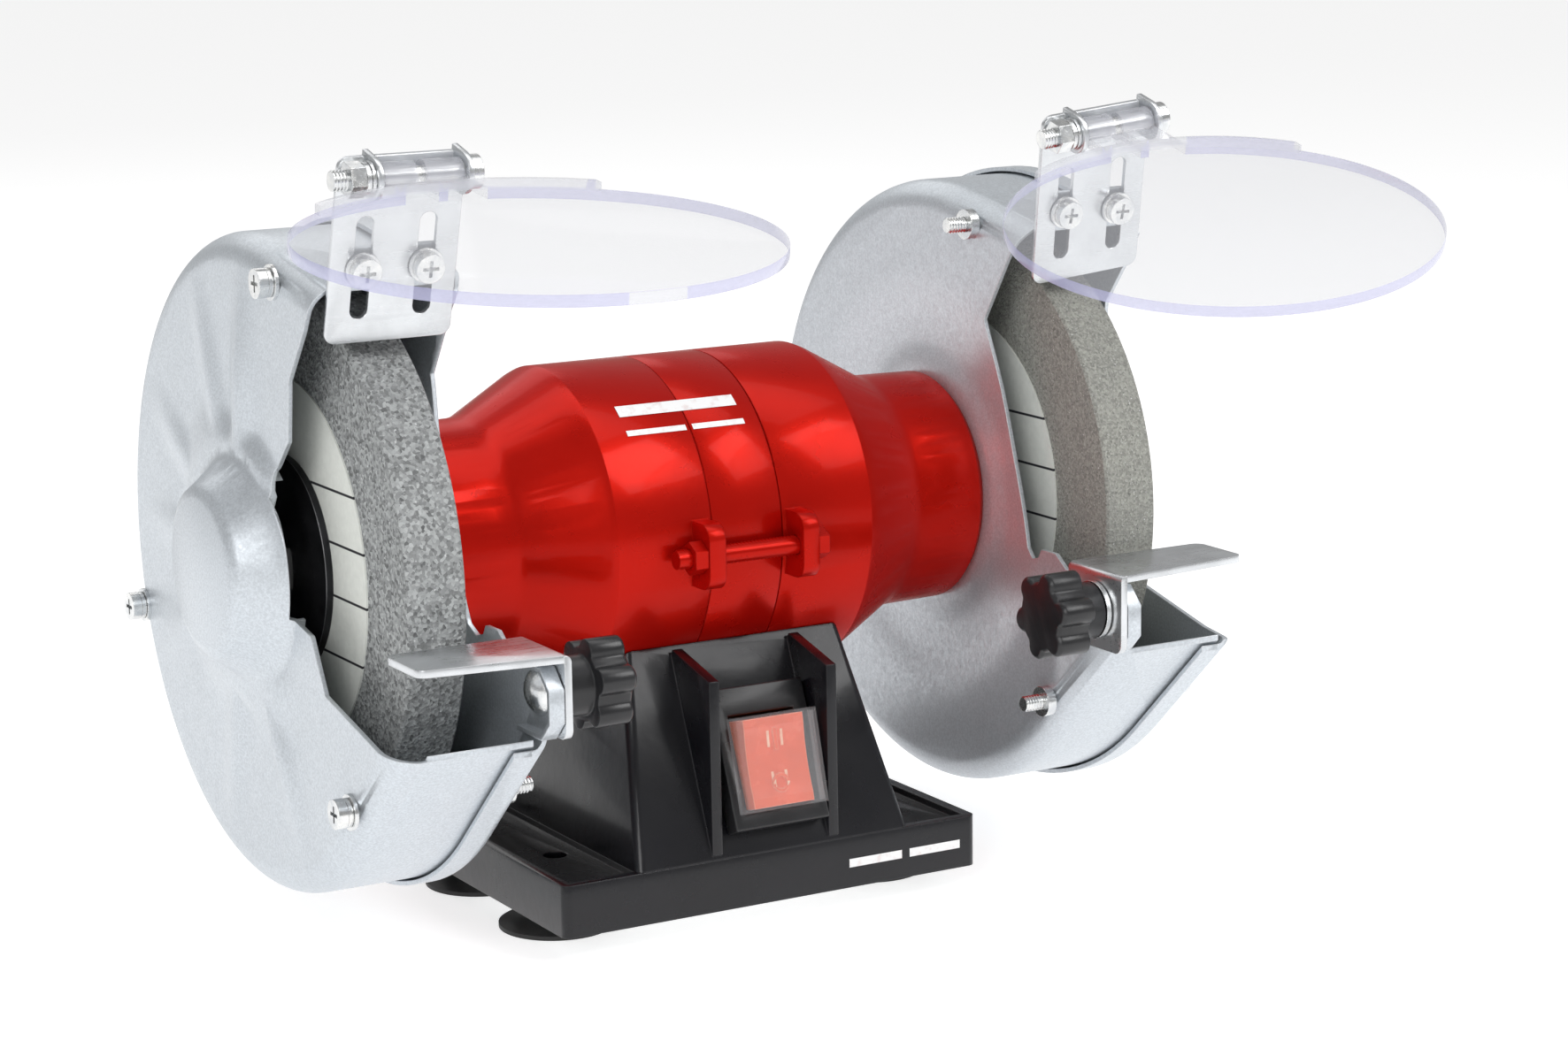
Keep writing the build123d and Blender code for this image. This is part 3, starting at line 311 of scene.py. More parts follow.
def hammered_silver(colours):
    """Metallic silver paint with a fine hammered sparkle."""
    paint = Paint("hammered_silver", metallic=0.65, coat=0.2, coat_roughness=0.2)
    worn = paint.edges(0.0005)
    fleck = paint.remap(paint.noise(1500.0, 2.0, 0.7), 0.38, 0.66)
    base = paint.mix(fleck, scaled(colours.guard, 0.90), scaled(colours.guard, 1.10))
    cloud = paint.remap(paint.noise(16.0, 4.0), 0.35, 0.7)
    base = paint.mix(paint.maths("MULTIPLY", cloud, 0.16), base, scaled(colours.guard, 0.70))
    base = paint.mix(paint.maths("MULTIPLY", worn, 0.55), base, (0.80, 0.82, 0.84))
    paint.bump(paint.noise(420.0, 2.0), 0.00006, 0.22)
    paint.bump(paint.noise(1400.0, 1.0), 0.00004, 0.25)
    return paint.use(base, paint.remap(paint.noise(700.0, 3.0), 0.3, 0.7, 0.34, 0.50))


def base_black(colours):
    """Gloss black stove enamel with light orange peel."""
    paint = Paint("base_black", coat=0.25, coat_roughness=0.12)
    paint.shade("Specular IOR Level", 0.3)
    worn = paint.edges(0.0006)
    dust = paint.remap(paint.noise(14.0, 6.0, 0.65), 0.42, 0.75)
    base = paint.mix(paint.maths("MULTIPLY", dust, 0.5), colours.base, scaled(colours.base, 2.0))
    base = paint.mix(paint.maths("MULTIPLY", worn, 0.5), base, (0.05, 0.05, 0.055))
    paint.bump(paint.noise(330.0, 2.0), 0.00010, 0.5)
    return paint.use(base, paint.remap(paint.noise(40.0, 5.0), 0.3, 0.75, 0.22, 0.36))


def zinc_sheet(colours):
    """Zinc plated sheet: fine rolling marks, cloudy patches and bright edges."""
    paint = Paint("zinc_sheet", metallic=0.9)
    worn = paint.edges(0.0003)
    marks = paint.noise(1.0, 4.0, 0.6, paint.stretched(60.0, 900.0, 900.0))
    cloud = paint.remap(paint.noise(55.0, 5.0, 0.6), 0.3, 0.72)
    base = paint.mix(cloud, scaled(colours.zinc, 0.80), scaled(colours.zinc, 1.05))
    base = paint.mix(paint.maths("MULTIPLY", worn, 0.5), base, (0.86, 0.86, 0.86))
    paint.bump(marks, 0.00004, 0.5)
    rough = paint.maths("ADD", paint.remap(marks, 0.3, 0.7, 0.20, 0.34), paint.maths("MULTIPLY", cloud, 0.08))
    return paint.use(base, rough)


def zinc_bright(colours):
    """Bright zinc plate of the screws and washers."""
    paint = Paint("zinc_bright", metallic=1.0)
    worn = paint.edges(0.00025)
    tint = paint.remap(paint.noise(240.0, 3.0), 0.35, 0.7)
    base = paint.mix(tint, scaled(colours.zinc, 0.85), (0.86, 0.86, 0.84))
    base = paint.mix(paint.maths("MULTIPLY", worn, 0.4), base, (0.92, 0.92, 0.92))
    paint.bump(paint.noise(1700.0, 2.0), 0.00004, 0.4)
    return paint.use(base, paint.remap(paint.noise(500.0, 3.0), 0.3, 0.7, 0.17, 0.31))


def machined_steel(colours):
    """Turned steel with fine rings round the shaft."""
    paint = Paint("machined_steel", metallic=1.0)
    paint.edges(0.0003)
    rings = paint.noise(1.0, 3.0, 0.6, paint.stretched(2600.0, 60.0, 60.0))
    base = paint.mix(paint.remap(rings, 0.3, 0.7), (0.42, 0.42, 0.41), (0.62, 0.62, 0.61))
    paint.bump(rings, 0.00005, 0.5)
    return paint.use(base, paint.remap(rings, 0.3, 0.7, 0.22, 0.36))


def black_oxide(colours):
    """Black oxide steel of the clamping flanges."""
    paint = Paint("black_oxide", metallic=0.8)
    worn = paint.edges(0.0004)
    cloud = paint.remap(paint.noise(70.0, 5.0), 0.35, 0.7)
    base = paint.mix(cloud, (0.016, 0.016, 0.018), (0.045, 0.045, 0.050))
    base = paint.mix(worn, base, (0.30, 0.30, 0.31))
    paint.bump(paint.noise(900.0, 2.0), 0.00005, 0.5)
    return paint.use(base, paint.remap(cloud, 0.0, 1.0, 0.28, 0.45))


def abrasive(name, grain_scale, dark, light, tint):
    """Vitrified abrasive: packed grains, open pores darkened with painted shade, and a few glossy crystals painted
    near white as a painted glint.
    """

    def recipe(colours):
        paint = Paint(name)
        cells = paint.grains(grain_scale, output="Color")
        bond = [part * cast for part, cast in zip(colours.grain, tint)]
        tone = paint.mix(paint.remap(cells, 0.0, 1.0), scaled(bond, dark), scaled(bond, light))
        # painted glint: a few crystals are painted near white as if catching the light, and are also made glossier
        crystal_glint = paint.remap(paint.grains(grain_scale * 1.9, output="Color"), 0.90, 0.97)
        tone = paint.mix(paint.maths("MULTIPLY", crystal_glint, 0.75), tone, (0.86, 0.87, 0.88))
        # painted shade: the open pores are darkened towards black where shade falls in the holes
        pore_shade = paint.remap(paint.noise(grain_scale * 0.8, 3.0, 0.7), 0.40, 0.28)
        tone = paint.mix(paint.maths("MULTIPLY", pore_shade, 0.75), tone, (0.045, 0.045, 0.05))
        patches = paint.remap(paint.noise(28.0, 3.0), 0.35, 0.7)
        tone = paint.mix(paint.maths("MULTIPLY", patches, 0.16), tone, scaled(colours.grain, 0.75))
        paint.bump(paint.grains(grain_scale), 0.00045 * 1000.0 / grain_scale, 0.75)
        paint.bump(paint.noise(grain_scale * 0.8, 3.0, 0.7), 0.0007 * 1000.0 / grain_scale, 0.65)
        return paint.use(tone, paint.remap(crystal_glint, 0.0, 1.0, 0.82, 0.35))

    return recipe


def label_paper(colours):
    """Off-white paper with thin ruled lines, fibres and a few grey smudges."""
    paint = Paint("label_paper")
    split = paint.node("ShaderNodeSeparateXYZ", Vector=paint.place)
    height = split.outputs["Z"]
    line = None
    for rule in LABEL_RULES:
        gap = paint.maths("ABSOLUTE", paint.maths("SUBTRACT", height, SHAFT.z + rule))
        stroke = paint.remap(gap, 0.00042, 0.00028)
        line = stroke if line is None else paint.maths("MAXIMUM", line, stroke)
    fibre = paint.remap(paint.noise(420.0, 5.0, 0.7), 0.3, 0.72)
    base = paint.mix(fibre, scaled(colours.paper, 0.93), scaled(colours.paper, 1.04))
    smudge = paint.remap(paint.noise(36.0, 5.0, 0.6), 0.56, 0.78)
    base = paint.mix(paint.maths("MULTIPLY", smudge, 0.25), base, (0.42, 0.43, 0.42))
    base = paint.mix(line, base, (0.02, 0.02, 0.025))
    paint.bump(paint.noise(900.0, 4.0), 0.00004, 0.5)
    return paint.use(base, paint.remap(fibre, 0.0, 1.0, 0.62, 0.82))


LABEL_RULES = (-0.036, -0.020, -0.004, 0.010, 0.024)


def moulded_black(colours):
    """Semi-gloss black plastic with a fine moulded grain."""
    paint = Paint("moulded_black")
    worn = paint.edges(0.0005)
    cloud = paint.remap(paint.noise(50.0, 4.0), 0.3, 0.7)
    base = paint.mix(cloud, (0.009, 0.009, 0.010), (0.020, 0.020, 0.022))
    base = paint.mix(paint.maths("MULTIPLY", worn, 0.4), base, (0.07, 0.07, 0.075))
    paint.bump(paint.noise(1300.0, 2.0), 0.00004, 0.5)
    return paint.use(base, paint.remap(cloud, 0.0, 1.0, 0.24, 0.38))


def suction_rubber(colours):
    """Matt black rubber, dusty at the rim."""
    paint = Paint("suction_rubber")
    dust = paint.remap(paint.noise(60.0, 6.0, 0.65), 0.45, 0.75)
    base = paint.mix(dust, (0.010, 0.010, 0.010), (0.035, 0.034, 0.033))
    paint.bump(paint.noise(700.0, 3.0), 0.00007, 0.5)
    return paint.use(base, paint.remap(dust, 0.0, 1.0, 0.50, 0.72))


def rocker_plastic(colours):
    """Red translucent plastic of the rocker, with a faint painted glow of its own."""
    paint = Paint("rocker_plastic", coat=0.3)
    worn = paint.edges(0.0004)
    cloud = paint.remap(paint.noise(160.0, 3.0), 0.3, 0.7)
    base = paint.mix(cloud, scaled(colours.rocker, 0.86), colours.rocker)
    base = paint.mix(paint.maths("MULTIPLY", worn, 0.6), base, (1.0, 0.52, 0.36))
    paint.shade("Subsurface Weight", 0.25)
    paint.shade("Subsurface Radius", (0.003, 0.0008, 0.0004))
    # painted glow: the rocker gives off a faint orange light of its own, though it is no lamp
    paint.shade("Emission Color", (1.0, 0.22, 0.06, 1.0))
    paint.shade("Emission Strength", 0.10)
    paint.bump(paint.noise(900.0, 2.0), 0.00004, 0.4)
    return paint.use(base, paint.remap(cloud, 0.0, 1.0, 0.20, 0.32))


def clear_film(name, tint, alpha, roughness):
    """Clear plastic with faint scratches."""

    def recipe(colours):
        paint = Paint(name)
        shade = colours.shield if tint is None else tint
        scratch = paint.noise(1.0, 5.0, 0.7, paint.stretched(90.0, 900.0, 900.0))
        base = paint.mix(paint.remap(scratch, 0.35, 0.7), scaled(shade, 0.96), scaled(shade, 1.04))
        paint.bump(paint.noise(40.0, 2.0), 0.00008, 0.25)
        paint.shade("Alpha", alpha)
        paint.shade("IOR", 1.58)
        paint.shade("Specular IOR Level", 0.55)
        return paint.use(base, paint.remap(scratch, 0.3, 0.75, roughness, roughness + 0.05))

    return recipe


def copper_wire(colours):
    """Enamelled copper windings."""
    paint = Paint("copper_wire", metallic=0.7)
    wires = paint.noise(1.0, 3.0, 0.6, paint.stretched(200.0, 1400.0, 1400.0))
    base = paint.mix(paint.remap(wires, 0.3, 0.7), (0.30, 0.10, 0.035), (0.62, 0.26, 0.10))
    paint.bump(wires, 0.0002, 0.7)
    return paint.use(base, paint.remap(wires, 0.3, 0.7, 0.28, 0.45))


def thin_print(name, full, thin, solid, rough):
    """Screen print or moulded strokes, thinner in places."""

    def recipe(colours):
        paint = Paint(name)
        cover = paint.remap(paint.noise(500.0, 4.0), 0.28, full)
        paint.bump(paint.noise(900.0, 2.0), 0.00004, 0.4)
        return paint.use(paint.mix(cover, thin, solid), paint.remap(cover, 0.0, 1.0, rough, rough - 0.12))

    return recipe


def studio_floor(colours):
    """Pale matt floor."""
    paint = Paint("studio_floor")
    paint.shade("Specular IOR Level", 0.1)
    paint.shade("Emission Color", (1.0, 1.0, 1.0, 1.0))
    paint.shade("Emission Strength", FLOOR_GLOW)
    return paint.use(scaled(colours.floor, 0.72), 0.85)


RECIPES = {
    "motor_enamel": motor_enamel,
    "hammered_silver": hammered_silver,
    "base_black": base_black,
    "zinc_sheet": zinc_sheet,
    "zinc_bright": zinc_bright,
    "machined_steel": machined_steel,
    "black_oxide": black_oxide,
    "coarse_wheel": abrasive("coarse_wheel", 1150.0, 0.34, 1.85, (1.0, 1.0, 1.0)),
    "fine_wheel": abrasive("fine_wheel", 1700.0, 0.66, 1.45, (1.03, 1.0, 0.90)),
    "label_paper": label_paper,
    "moulded_black": moulded_black,
    "suction_rubber": suction_rubber,
    "rocker_plastic": rocker_plastic,
    "shield_face": clear_film("shield_face", (0.60, 0.61, 0.65), 0.21, 0.03),
    "shield_rim": clear_film("shield_rim", None, 0.62, 0.06),
    "shield_clear": clear_film("shield_clear", (0.66, 0.67, 0.72), 0.36, 0.05),
    "dust_cover": clear_film("dust_cover", (0.72, 0.72, 0.74), 0.11, 0.04),
    "copper_wire": copper_wire,
    "mark_white": thin_print("mark_white", 0.5, (0.78, 0.70, 0.69), (0.90, 0.90, 0.90), 0.42),
    "mark_peach": thin_print("mark_peach", 0.6, (0.90, 0.42, 0.26), (0.95, 0.62, 0.45), 0.40),
    "studio_floor": studio_floor,
}

# which finish each record slot wears
SLOT_FINISH = {
    "black_casting": "base_black", "zinc": "zinc_bright", "galvanised_sheet": "zinc_sheet",
    "rubber": "suction_rubber", "black_plastic": "moulded_black", "rocker_red": "rocker_plastic",
    "clear_plastic": "dust_cover", "red_paint": "motor_enamel", "silver_paint": "hammered_silver",
    "coarse_abrasive": "coarse_wheel", "fine_abrasive": "fine_wheel", "paper": "label_paper",
    "machined_steel": "machined_steel", "dark_flange": "black_oxide", "copper": "copper_wire",
    "fan_plastic": "moulded_black",
}
NODE_SLOT = {part["node"]: part["material_slot"] for part in frame["record"]["subparts"]}


# ------------------------------------------------------------------ mesh helpers
def body_of(node):
    """The moving body that a CAD node belongs to."""
    for body, members in frame["record"]["behaviour"]["bodies"].items():
        if node in members:
            return body
    raise RuntimeError(f"{node} is in no body")


def shell_of(node, planar=0.02):
    """A welded copy of a CAD node's mesh, with its flat faces made whole again."""
    shell = bmesh.new()
    shell.from_mesh(frame["nodes"][node].data)
    bmesh.ops.remove_doubles(shell, verts=shell.verts, dist=2e-6)
    bmesh.ops.dissolve_limit(shell, angle_limit=planar, verts=shell.verts, edges=shell.edges)
    return shell


def round_edges(shell, width, angle=0.6, segments=2):
    """Rounds the edges that turn more than an angle."""
    sharp = [e for e in shell.edges if len(e.link_faces) == 2 and e.calc_face_angle(0.0) > angle]
    bmesh.ops.bevel(
        shell, geom=sharp, offset=width, offset_type="OFFSET", affect="EDGES", segments=segments,
        profile=0.5, material=-1, clamp_overlap=True,
    )


def publish(shell, name, finishes, body, stands_for=(), smooth=0.55):
    """Turns a bmesh into a finished piece that rides on a body."""
    mesh = bpy.data.meshes.new(name)
    shell.to_mesh(mesh)
    shell.free()
    for finish in finishes:
        mesh.materials.append(finish_named(finish))
    piece = bpy.data.objects.new(name, mesh)
    bpy.context.scene.collection.objects.link(piece)
    mesh.shade_smooth()
    mesh.set_sharp_from_angle(angle=smooth)
    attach(piece, body)
    if stands_for:
        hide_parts(*stands_for)
    return piece


def rounded_copy(node, name, width, angle=0.6):
    """A CAD node again, with its edges rounded as the real casting or sheet has them."""
    shell = shell_of(node)
    round_edges(shell, width, angle)
    slot = NODE_SLOT[node]
    return publish(shell, name, [SLOT_FINISH[slot]], body_of(node), (node,))


def grid_cut(shell, step, reach, wall):
    """Cuts a wall that lies across X into a grid, so that it can be pressed into shape."""
    count = int(reach / step)
    for normal in (Vector((0.0, 1.0, 0.0)), Vector((0.0, 0.0, 1.0))):
        for index in range(-count, count + 1):
            faces = [f for f in shell.faces if wall(f)]
            geom = set(faces)
            for face in faces:
                geom.update(face.edges)
                geom.update(face.verts)
            point = SHAFT + normal * (index * step)
            bmesh.ops.bisect_plane(shell, geom=list(geom), dist=1e-6, plane_co=point, plane_no=normal)


def ease(value, low, high):
    """Smooth step from 0 at low to 1 at high."""
    t = min(1.0, max(0.0, (value - low) / (high - low)))
    return t * t * (3.0 - 2.0 * t)


def turn_from(angle, middle):
    """Unsigned angle in degrees between a direction and middle."""
    return abs((math.degrees(angle) - middle + 180.0) % 360.0 - 180.0)


def rib_height(y, z):
    """Relief of the outer covers, 0 to 1: a three-cornered skirt round the hub and long ridges."""
    radius = math.hypot(y, z)
    angle = math.atan2(z, y)
    corner = max(1.0 - ease(turn_from(angle, middle), *CORNER_SPREAD) for middle in SKIRT_CORNERS)
    clear = ease(turn_from(angle, 180.0), *WINDOW_CLEAR)
    height = 0.85 * (1.0 - ease(radius, HUB_FOOT, HUB_FOOT + 0.006 + 0.012 * corner))
    for middle, spread, strength, reach in RIDGES:
        turn = turn_from(angle, middle)
        crest = 1.0 - ease(turn, 0.0, spread * (1.25 - radius / 0.09))
        height = max(height, strength * crest * (1.0 - ease(radius, reach * 0.55, reach)))
    return height * clear * ease(radius, HUB_FOOT - 0.003, HUB_FOOT - 0.0005)


def away_from_bolts(y, z):
    """0 at the cover screws, 1 clear of them, so that the washers keep a flat seat."""
    nearest = min(math.hypot(y - by, z - bz) for by, bz in COVER_BOLTS)
    return ease(nearest, *BOLT_SEAT)


def press_cover(side):
    """The outer cover with ribs pressed into its face round the hub."""
    node = side + "_outer_cover"
    sign = SIDES[side]
    depth = bpy.context.scene.grinder_sizes.press
    shell = shell_of(node)

    def wall(face):
        flat = abs(face.normal.x) > 0.999
        return flat and all(COVER_WALL[0] < abs(vert.co.x) < COVER_WALL[1] for vert in face.verts)

    grid_cut(shell, *COVER_GRID, wall)
    for vert in shell.verts:
        y, z = vert.co.y, vert.co.z - SHAFT.z
        if abs(vert.co.x) >= COVER_WALL[0]:
            vert.co.x += sign * depth * rib_height(y, z) * away_from_bolts(y, z)
    publish(shell, side + "_cover_pressed", ["hammered_silver"], "housing", (node,), 0.9)


def dish_guard(side):
    """The inner guard with a shallow dish pressed round the motor's neck."""
    node = side + "_inner_guard"
    sign = SIDES[side]
    depth = bpy.context.scene.grinder_sizes.dish
    shell = shell_of(node)

    def wall(face):
        centre = face.calc_center_median()
        near = math.hypot(centre.y, centre.z - SHAFT.z) < GUARD_NEAR
        return abs(face.normal.x) > 0.9 and abs(centre.x) < GUARD_WALL and near

    grid_cut(shell, *GUARD_GRID, wall)
    for vert in shell.verts:
        if abs(vert.co.x) > GUARD_WALL:
            continue
        radius = math.hypot(vert.co.y, vert.co.z - SHAFT.z)
        band = ease(radius, *DISH_RISE) * (1.0 - ease(radius, *DISH_FALL))
        vert.co.x += sign * depth * band
    publish(shell, side + "_guard_dished", ["hammered_silver"], "housing", (node,), 0.9)


def thread_ridge(shell, start, along, radius, run, pitch):
    """Adds one helical thread ridge to a bmesh, spun round an axis as it moves along it."""
    height = bpy.context.scene.grinder_sizes.thread
    along = along.normalized()
    across = along.orthogonal().normalized()
    foot = radius - THREAD_SINK
    corners = (
        start + across * foot, start + along * pitch * 0.42 + across * (radius + height),
        start + along * pitch * 0.84 + across * foot,
    )
    verts = [shell.verts.new(c) for c in corners]
    edges = [shell.edges.new((verts[0], verts[1])), shell.edges.new((verts[1], verts[2]))]
    turns = max(1, int(run / pitch))
    steps = turns * TURN_STEPS
    bmesh.ops.spin(
        shell, geom=verts + edges, cent=start, axis=along, dvec=along * (turns * pitch / steps),
        angle=2.0 * math.pi * turns, steps=steps, use_merge=False, use_duplicate=False,
    )


# ------------------------------------------------------------------ operators
class GRINDER_OT_finishes(bpy.types.Operator):
    """Gives every CAD node the finish of its material slot"""

    bl_idname = "grinder.finishes"
    bl_label = "Paint and plate all parts"

    def execute(self, context):
        for node, obj in frame["nodes"].items():
            obj.data.materials.clear()
            obj.data.materials.append(finish_named(SLOT_FINISH[NODE_SLOT[node]]))
        return {"FINISHED"}


class GRINDER_OT_covers(bpy.types.Operator):
    """Presses the ribs into the two outer covers"""

    bl_idname = "grinder.covers"
    bl_label = "Press the outer covers"

    def execute(self, context):
        for side in SIDES:
            press_cover(side)
        return {"FINISHED"}


class GRINDER_OT_guards(bpy.types.Operator):
    """Dishes the two inner guards round the motor's necks"""

    bl_idname = "grinder.guards"
    bl_label = "Dish the inner guards"

    def execute(self, context):
        for side in SIDES:
            dish_guard(side)
        return {"FINISHED"}


class GRINDER_OT_castings(bpy.types.Operator):
    """Rounds the edges of the motor housing, plinth and pedestal"""

    bl_idname = "grinder.castings"
    bl_label = "Round the castings"

    def execute(self, context):
        edge = context.scene.grinder_sizes.edge
        for node, name, share, angle in CASTINGS:
            rounded_copy(node, name, edge * share, angle)
        return {"FINISHED"}


class GRINDER_OT_rests(bpy.types.Operator):
    """Rounds the cut edges of the tool rests and shield brackets"""

    bl_idname = "grinder.rests"
    bl_label = "Deburr rests and brackets"

    def execute(self, context):
        edge = context.scene.grinder_sizes.sheet_edge
        for side in SIDES:
            rounded_copy(side + "_tool_rest", side + "_rest_folded", edge)
            rounded_copy(side + "_shield_bracket", side + "_bracket_stamped", edge)
        return {"FINISHED"}


class GRINDER_OT_knobs(bpy.types.Operator):
    """Rounds the star knobs"""

    bl_idname = "grinder.knobs"
    bl_label = "Mould the star knobs"

    def execute(self, context):
        edge = context.scene.grinder_sizes.edge
        for side in SIDES:
            rounded_copy(side + "_rest_knob", side + "_knob_moulded", edge, 0.5)
        return {"FINISHED"}


def shield_zone(face, flat, top):
    """0 for the broad faces, 1 for the oval's outer edge, 2 for the lip, arms and knuckles."""
    away = face.calc_center_median() - top
    level = away.dot(flat)
    across = away - flat * level
    along = Vector((across.x, math.hypot(across.y, across.z)))
    reach = math.hypot(along.x / OVAL_A, along.y / OVAL_B)
    if abs(level) > OVAL_LEVEL or reach > 1.03:
        return 2
    if abs(face.normal.dot(flat)) > 0.9:
        return 0
    return 1 if reach > 0.95 else 2


class GRINDER_OT_shields(bpy.types.Operator):
    """Makes the clear eye shields with tinted edges"""

    bl_idname = "grinder.shields"
    bl_label = "Mould the eye shields"

    def execute(self, context):
        for side in SIDES:
            node = side + "_eye_shield"
            shell = shell_of(node, 0.005)
            round_edges(shell, 0.0005, 0.7)
            broad = max(shell.faces, key=lambda f: f.calc_area())
            flat, top = broad.normal.copy(), broad.calc_center_median()
            for face in shell.faces:
                face.material_index = shield_zone(face, flat, top)
            finishes = ["shield_face", "shield_rim", "shield_clear"]
            publish(shell, side + "_shield_clear", finishes, body_of(node), (node,))
        return {"FINISHED"}


class GRINDER_OT_threads(bpy.types.Operator):
    """Cuts threads on the screws whose ends are seen"""

    bl_idname = "grinder.threads"
    bl_label = "Cut the threads"

    def execute(self, context):
        along = Vector((1.0, 0.0, 0.0))
        low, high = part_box("tie_bolts")
        ties = bmesh.new()
        for y in (low.y + TIE_INSET, high.y - TIE_INSET):
            middle = Vector((low.x + TIE_START, y, (low.z + high.z) / 2.0))
            thread_ridge(ties, middle, along, *TIE_THREAD)
        publish(ties, "tie_bolt_threads", ["motor_enamel"], "housing", (), 0.3)
        ends = bmesh.new()
        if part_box("cover_screws")[1].x < COVER_DEPTH:
            raise RuntimeError("the cover screws are shorter than the covers are deep")
        for sign in SIDES.values():
            for y, z in COVER_BOLTS:
                start = Vector((sign * COVER_THREAD_START, y, SHAFT.z + z))
                thread_ridge(ends, start, along * sign, *COVER_THREAD)
        publish(ends, "cover_screw_threads", ["zinc_bright"], "housing", (), 0.3)
        for side in SIDES:
            hinge = next(j for j in frame["joints"] if j["name"] == side + "_shield_hinge")
            axis = Vector(hinge["axis"])
            start = Vector(hinge["pos_m"]) - axis * HINGE_THREAD_START
            bolt = bmesh.new()
            thread_ridge(bolt, start, axis, *HINGE_THREAD)
            publish(bolt, side + "_hinge_threads", ["zinc_bright"], side + "_bracket", (), 0.3)
        return {"FINISHED"}


class GRINDER_OT_marks(bpy.types.Operator):
    """Prints plain bars on the motor and the plinth, and short strokes on the rocker"""

    bl_idname = "grinder.marks"
    bl_label = "Print the plain marks"

    def execute(self, context):
        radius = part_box("stator_ring")[1].y + PRINT_LIFT
        bars = bmesh.new()
        for x0, x1, turn, width in MOTOR_BARS:
            curved_bar(bars, radius, x0, x1, turn, width)
        publish(bars, "motor_bars", ["mark_white"], "housing", (), 0.5)
        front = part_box("plinth")[0].y
        line = bmesh.new()
        for x0, x1 in PLINTH_BARS:
            flat_bar(line, x0, x1, front - PRINT_LIFT, *PLINTH_BAR_HEIGHTS)
        publish(line, "plinth_bars", ["mark_white"], "housing")
        strokes = bmesh.new()
        for stroke in rocker_strokes():
            rows = [[strokes.verts.new(point) for point in row] for row in stroke]
            for low_row, high_row in zip(rows, rows[1:]):
                strokes.faces.new((low_row[0], low_row[1], high_row[1], high_row[0]))
        publish(strokes, "rocker_marks", ["mark_peach"], "rocker")
        return {"FINISHED"}


def rocker_strokes():
    """Rows of points for four short strokes, two on each half of the rocker's face."""
    shell = shell_of("rocker")
    tree = BVHTree.FromBMesh(shell)
    low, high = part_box("rocker")
    middle = (low + high) / 2.0
    strokes = []
    for height in STROKE_HEIGHTS:
        for place in STROKE_PLACES:
            rows = []
            for part in range(-2, 3):
                row = []
                for edge in (-STROKE_HALF, STROKE_HALF):
                    aim = middle + ROCKER_OUT * STROKE_AIM + ROCKER_UP * (height + part * STROKE_STEP)
                    hit = tree.ray_cast(aim + Vector((place + edge, 0.0, 0.0)), -ROCKER_OUT)[0]
                    if hit is None:
                        raise RuntimeError("a stroke misses the rocker")
                    row.append(hit + ROCKER_OUT * STROKE_LIFT)
                rows.append(row)
            strokes.append(rows)
    shell.free()
    return strokes


def curved_bar(bars, radius, x0, x1, turn, width):
    """A thin printed bar that wraps the motor, spun about the shaft line."""
    angle = math.radians(turn - width / 2.0)
    height = SHAFT.z + radius * math.sin(angle)
    depth = radius * math.cos(angle)
    ends = [bars.verts.new((x, depth, height)) for x in (x0, x1)]
    edge = bars.edges.new(ends)
    bmesh.ops.spin(
        bars, geom=ends + [edge], cent=SHAFT, axis=(1.0, 0.0, 0.0), dvec=(0.0, 0.0, 0.0),
        angle=math.radians(width), steps=8, use_merge=False, use_duplicate=False,
    )


def flat_bar(bars, x0, x1, y, z0, z1):
    """A thin printed bar on the plinth's front."""
    place = Matrix.LocRotScale(
        Vector(((x0 + x1) / 2.0, y, (z0 + z1) / 2.0)), Matrix.Rotation(math.radians(90.0), 3, "X"),
        Vector((x1 - x0, z1 - z0, 1.0)),
    )
    made = bmesh.ops.create_grid(bars, x_segments=6, y_segments=2, size=0.5, matrix=place)
    bmesh.ops.recalc_face_normals(bars, faces=list({f for v in made["verts"] for f in v.link_faces}))


class GRINDER_OT_stage(bpy.types.Operator):
    """Sets out the floor, the lights and the camera"""

    bl_idname = "grinder.stage"
    bl_label = "Set the stage"

    def execute(self, context):
        sizes = context.scene.grinder_sizes
        lay_floor(sizes.floor_span)
        for light in LIGHTS:
            hang_light(*light)
        world = bpy.data.worlds.new("studio")
        context.scene.world = world
        world.use_nodes = True
        background = world.node_tree.nodes["Background"]
        background.inputs["Color"].default_value = (1.0, 1.0, 1.0, 1.0)
        background.inputs["Strength"].default_value = WORLD_STRENGTH
        aim_camera(sizes)
        context.scene.view_settings.view_transform = "Standard"
        return {"FINISHED"}


def lay_floor(span):
    """A broad plain floor at the height that the feet stand on."""
    floor = bmesh.new()
    bmesh.ops.create_grid(floor, x_segments=2, y_segments=2, size=span / 2.0)
    mesh = bpy.data.meshes.new("studio_floor")
    floor.to_mesh(mesh)
    floor.free()
    mesh.materials.append(finish_named("studio_floor"))
    obj = bpy.data.objects.new("studio_floor", mesh)
    bpy.context.scene.collection.objects.link(obj)


def hang_light(name, place, target, width, depth, power):
    """One soft rectangular light that faces a target."""
    data = bpy.data.lights.new(name, "AREA")
    data.shape = "RECTANGLE"
    data.size = width
    data.size_y = depth
    data.energy = power
    lamp = bpy.data.objects.new(name, data)
    lamp.location = place
    lamp.rotation_euler = (Vector(target) - Vector(place)).to_track_quat("-Z", "Y").to_euler()
    bpy.context.scene.collection.objects.link(lamp)


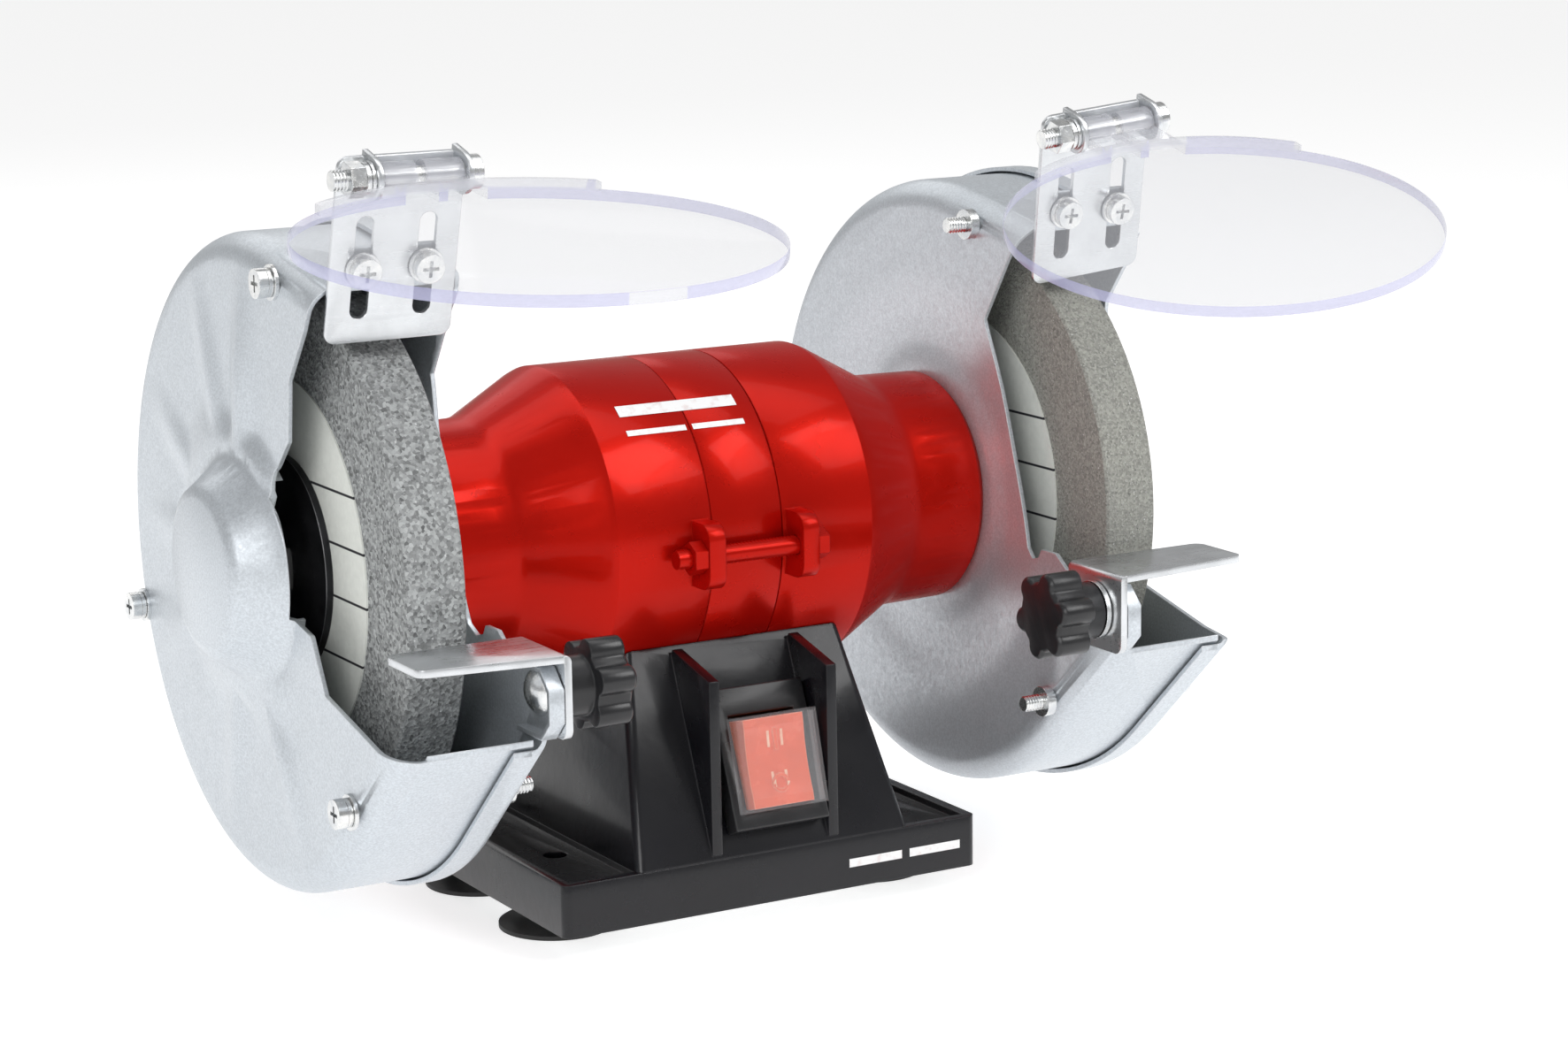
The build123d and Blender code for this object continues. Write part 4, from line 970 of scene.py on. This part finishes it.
def aim_camera(sizes):
    """A long-lens camera, a little above the grinder and to its left."""
    azimuth = math.radians(CAMERA_AZIMUTH)
    height = math.radians(CAMERA_HEIGHT)
    roll = math.radians(CAMERA_ROLL)
    level = math.cos(height)
    back = Vector((math.sin(azimuth) * level, -math.cos(azimuth) * level, math.sin(height)))
    right = Vector((math.cos(azimuth), math.sin(azimuth), 0.0))
    up = right.cross(-back)
    side = right * math.cos(roll) + up * math.sin(roll)
    top = up * math.cos(roll) - right * math.sin(roll)
    data = bpy.data.cameras.new("studio_camera")
    data.lens = sizes.lens
    data.sensor_width = 36.0
    data.sensor_fit = "HORIZONTAL"
    data.clip_start = 0.01
    data.clip_end = 30.0
    camera = bpy.data.objects.new("studio_camera", data)
    place = Matrix((side, top, back)).transposed().to_4x4()
    place.translation = Vector(CAMERA_TARGET) + back * sizes.camera_distance
    camera.matrix_world = place
    bpy.context.scene.collection.objects.link(camera)
    bpy.context.scene.camera = camera


class GRINDER_PT_panel(bpy.types.Panel):
    """Lists the grinder's colours, sizes and steps"""

    bl_idname = "GRINDER_PT_panel"
    bl_label = "Bench grinder"
    bl_space_type = "VIEW_3D"
    bl_region_type = "UI"
    bl_category = "Grinder"

    def draw(self, context):
        layout = self.layout
        for group in (context.scene.grinder_sizes, context.scene.grinder_colours):
            column = layout.column(align=True)
            for name in group.__annotations__:
                column.prop(group, name)
        for step in STEPS:
            layout.operator(step.bl_idname)


STEPS = (
    GRINDER_OT_finishes, GRINDER_OT_covers, GRINDER_OT_guards, GRINDER_OT_castings, GRINDER_OT_rests,
    GRINDER_OT_knobs, GRINDER_OT_shields, GRINDER_OT_threads, GRINDER_OT_marks, GRINDER_OT_stage,
)
CLASSES = (GrinderColours, GrinderSizes, *STEPS, GRINDER_PT_panel)


def register():
    for cls in CLASSES:
        bpy.utils.register_class(cls)
    bpy.types.Scene.grinder_colours = bpy.props.PointerProperty(type=GrinderColours)
    bpy.types.Scene.grinder_sizes = bpy.props.PointerProperty(type=GrinderSizes)


def unregister():
    del bpy.types.Scene.grinder_sizes
    del bpy.types.Scene.grinder_colours
    for cls in reversed(CLASSES):
        bpy.utils.unregister_class(cls)


def corners(bounds):
    """Bounds as plain lists of numbers."""
    return [[float(v) for v in corner] for corner in bounds]


def main():
    """Runs every step in order."""
    register()
    for step in STEPS:
        group, name = step.bl_idname.split(".")
        getattr(getattr(bpy.ops, group), name)()


if __name__ == "__main__":
    main()
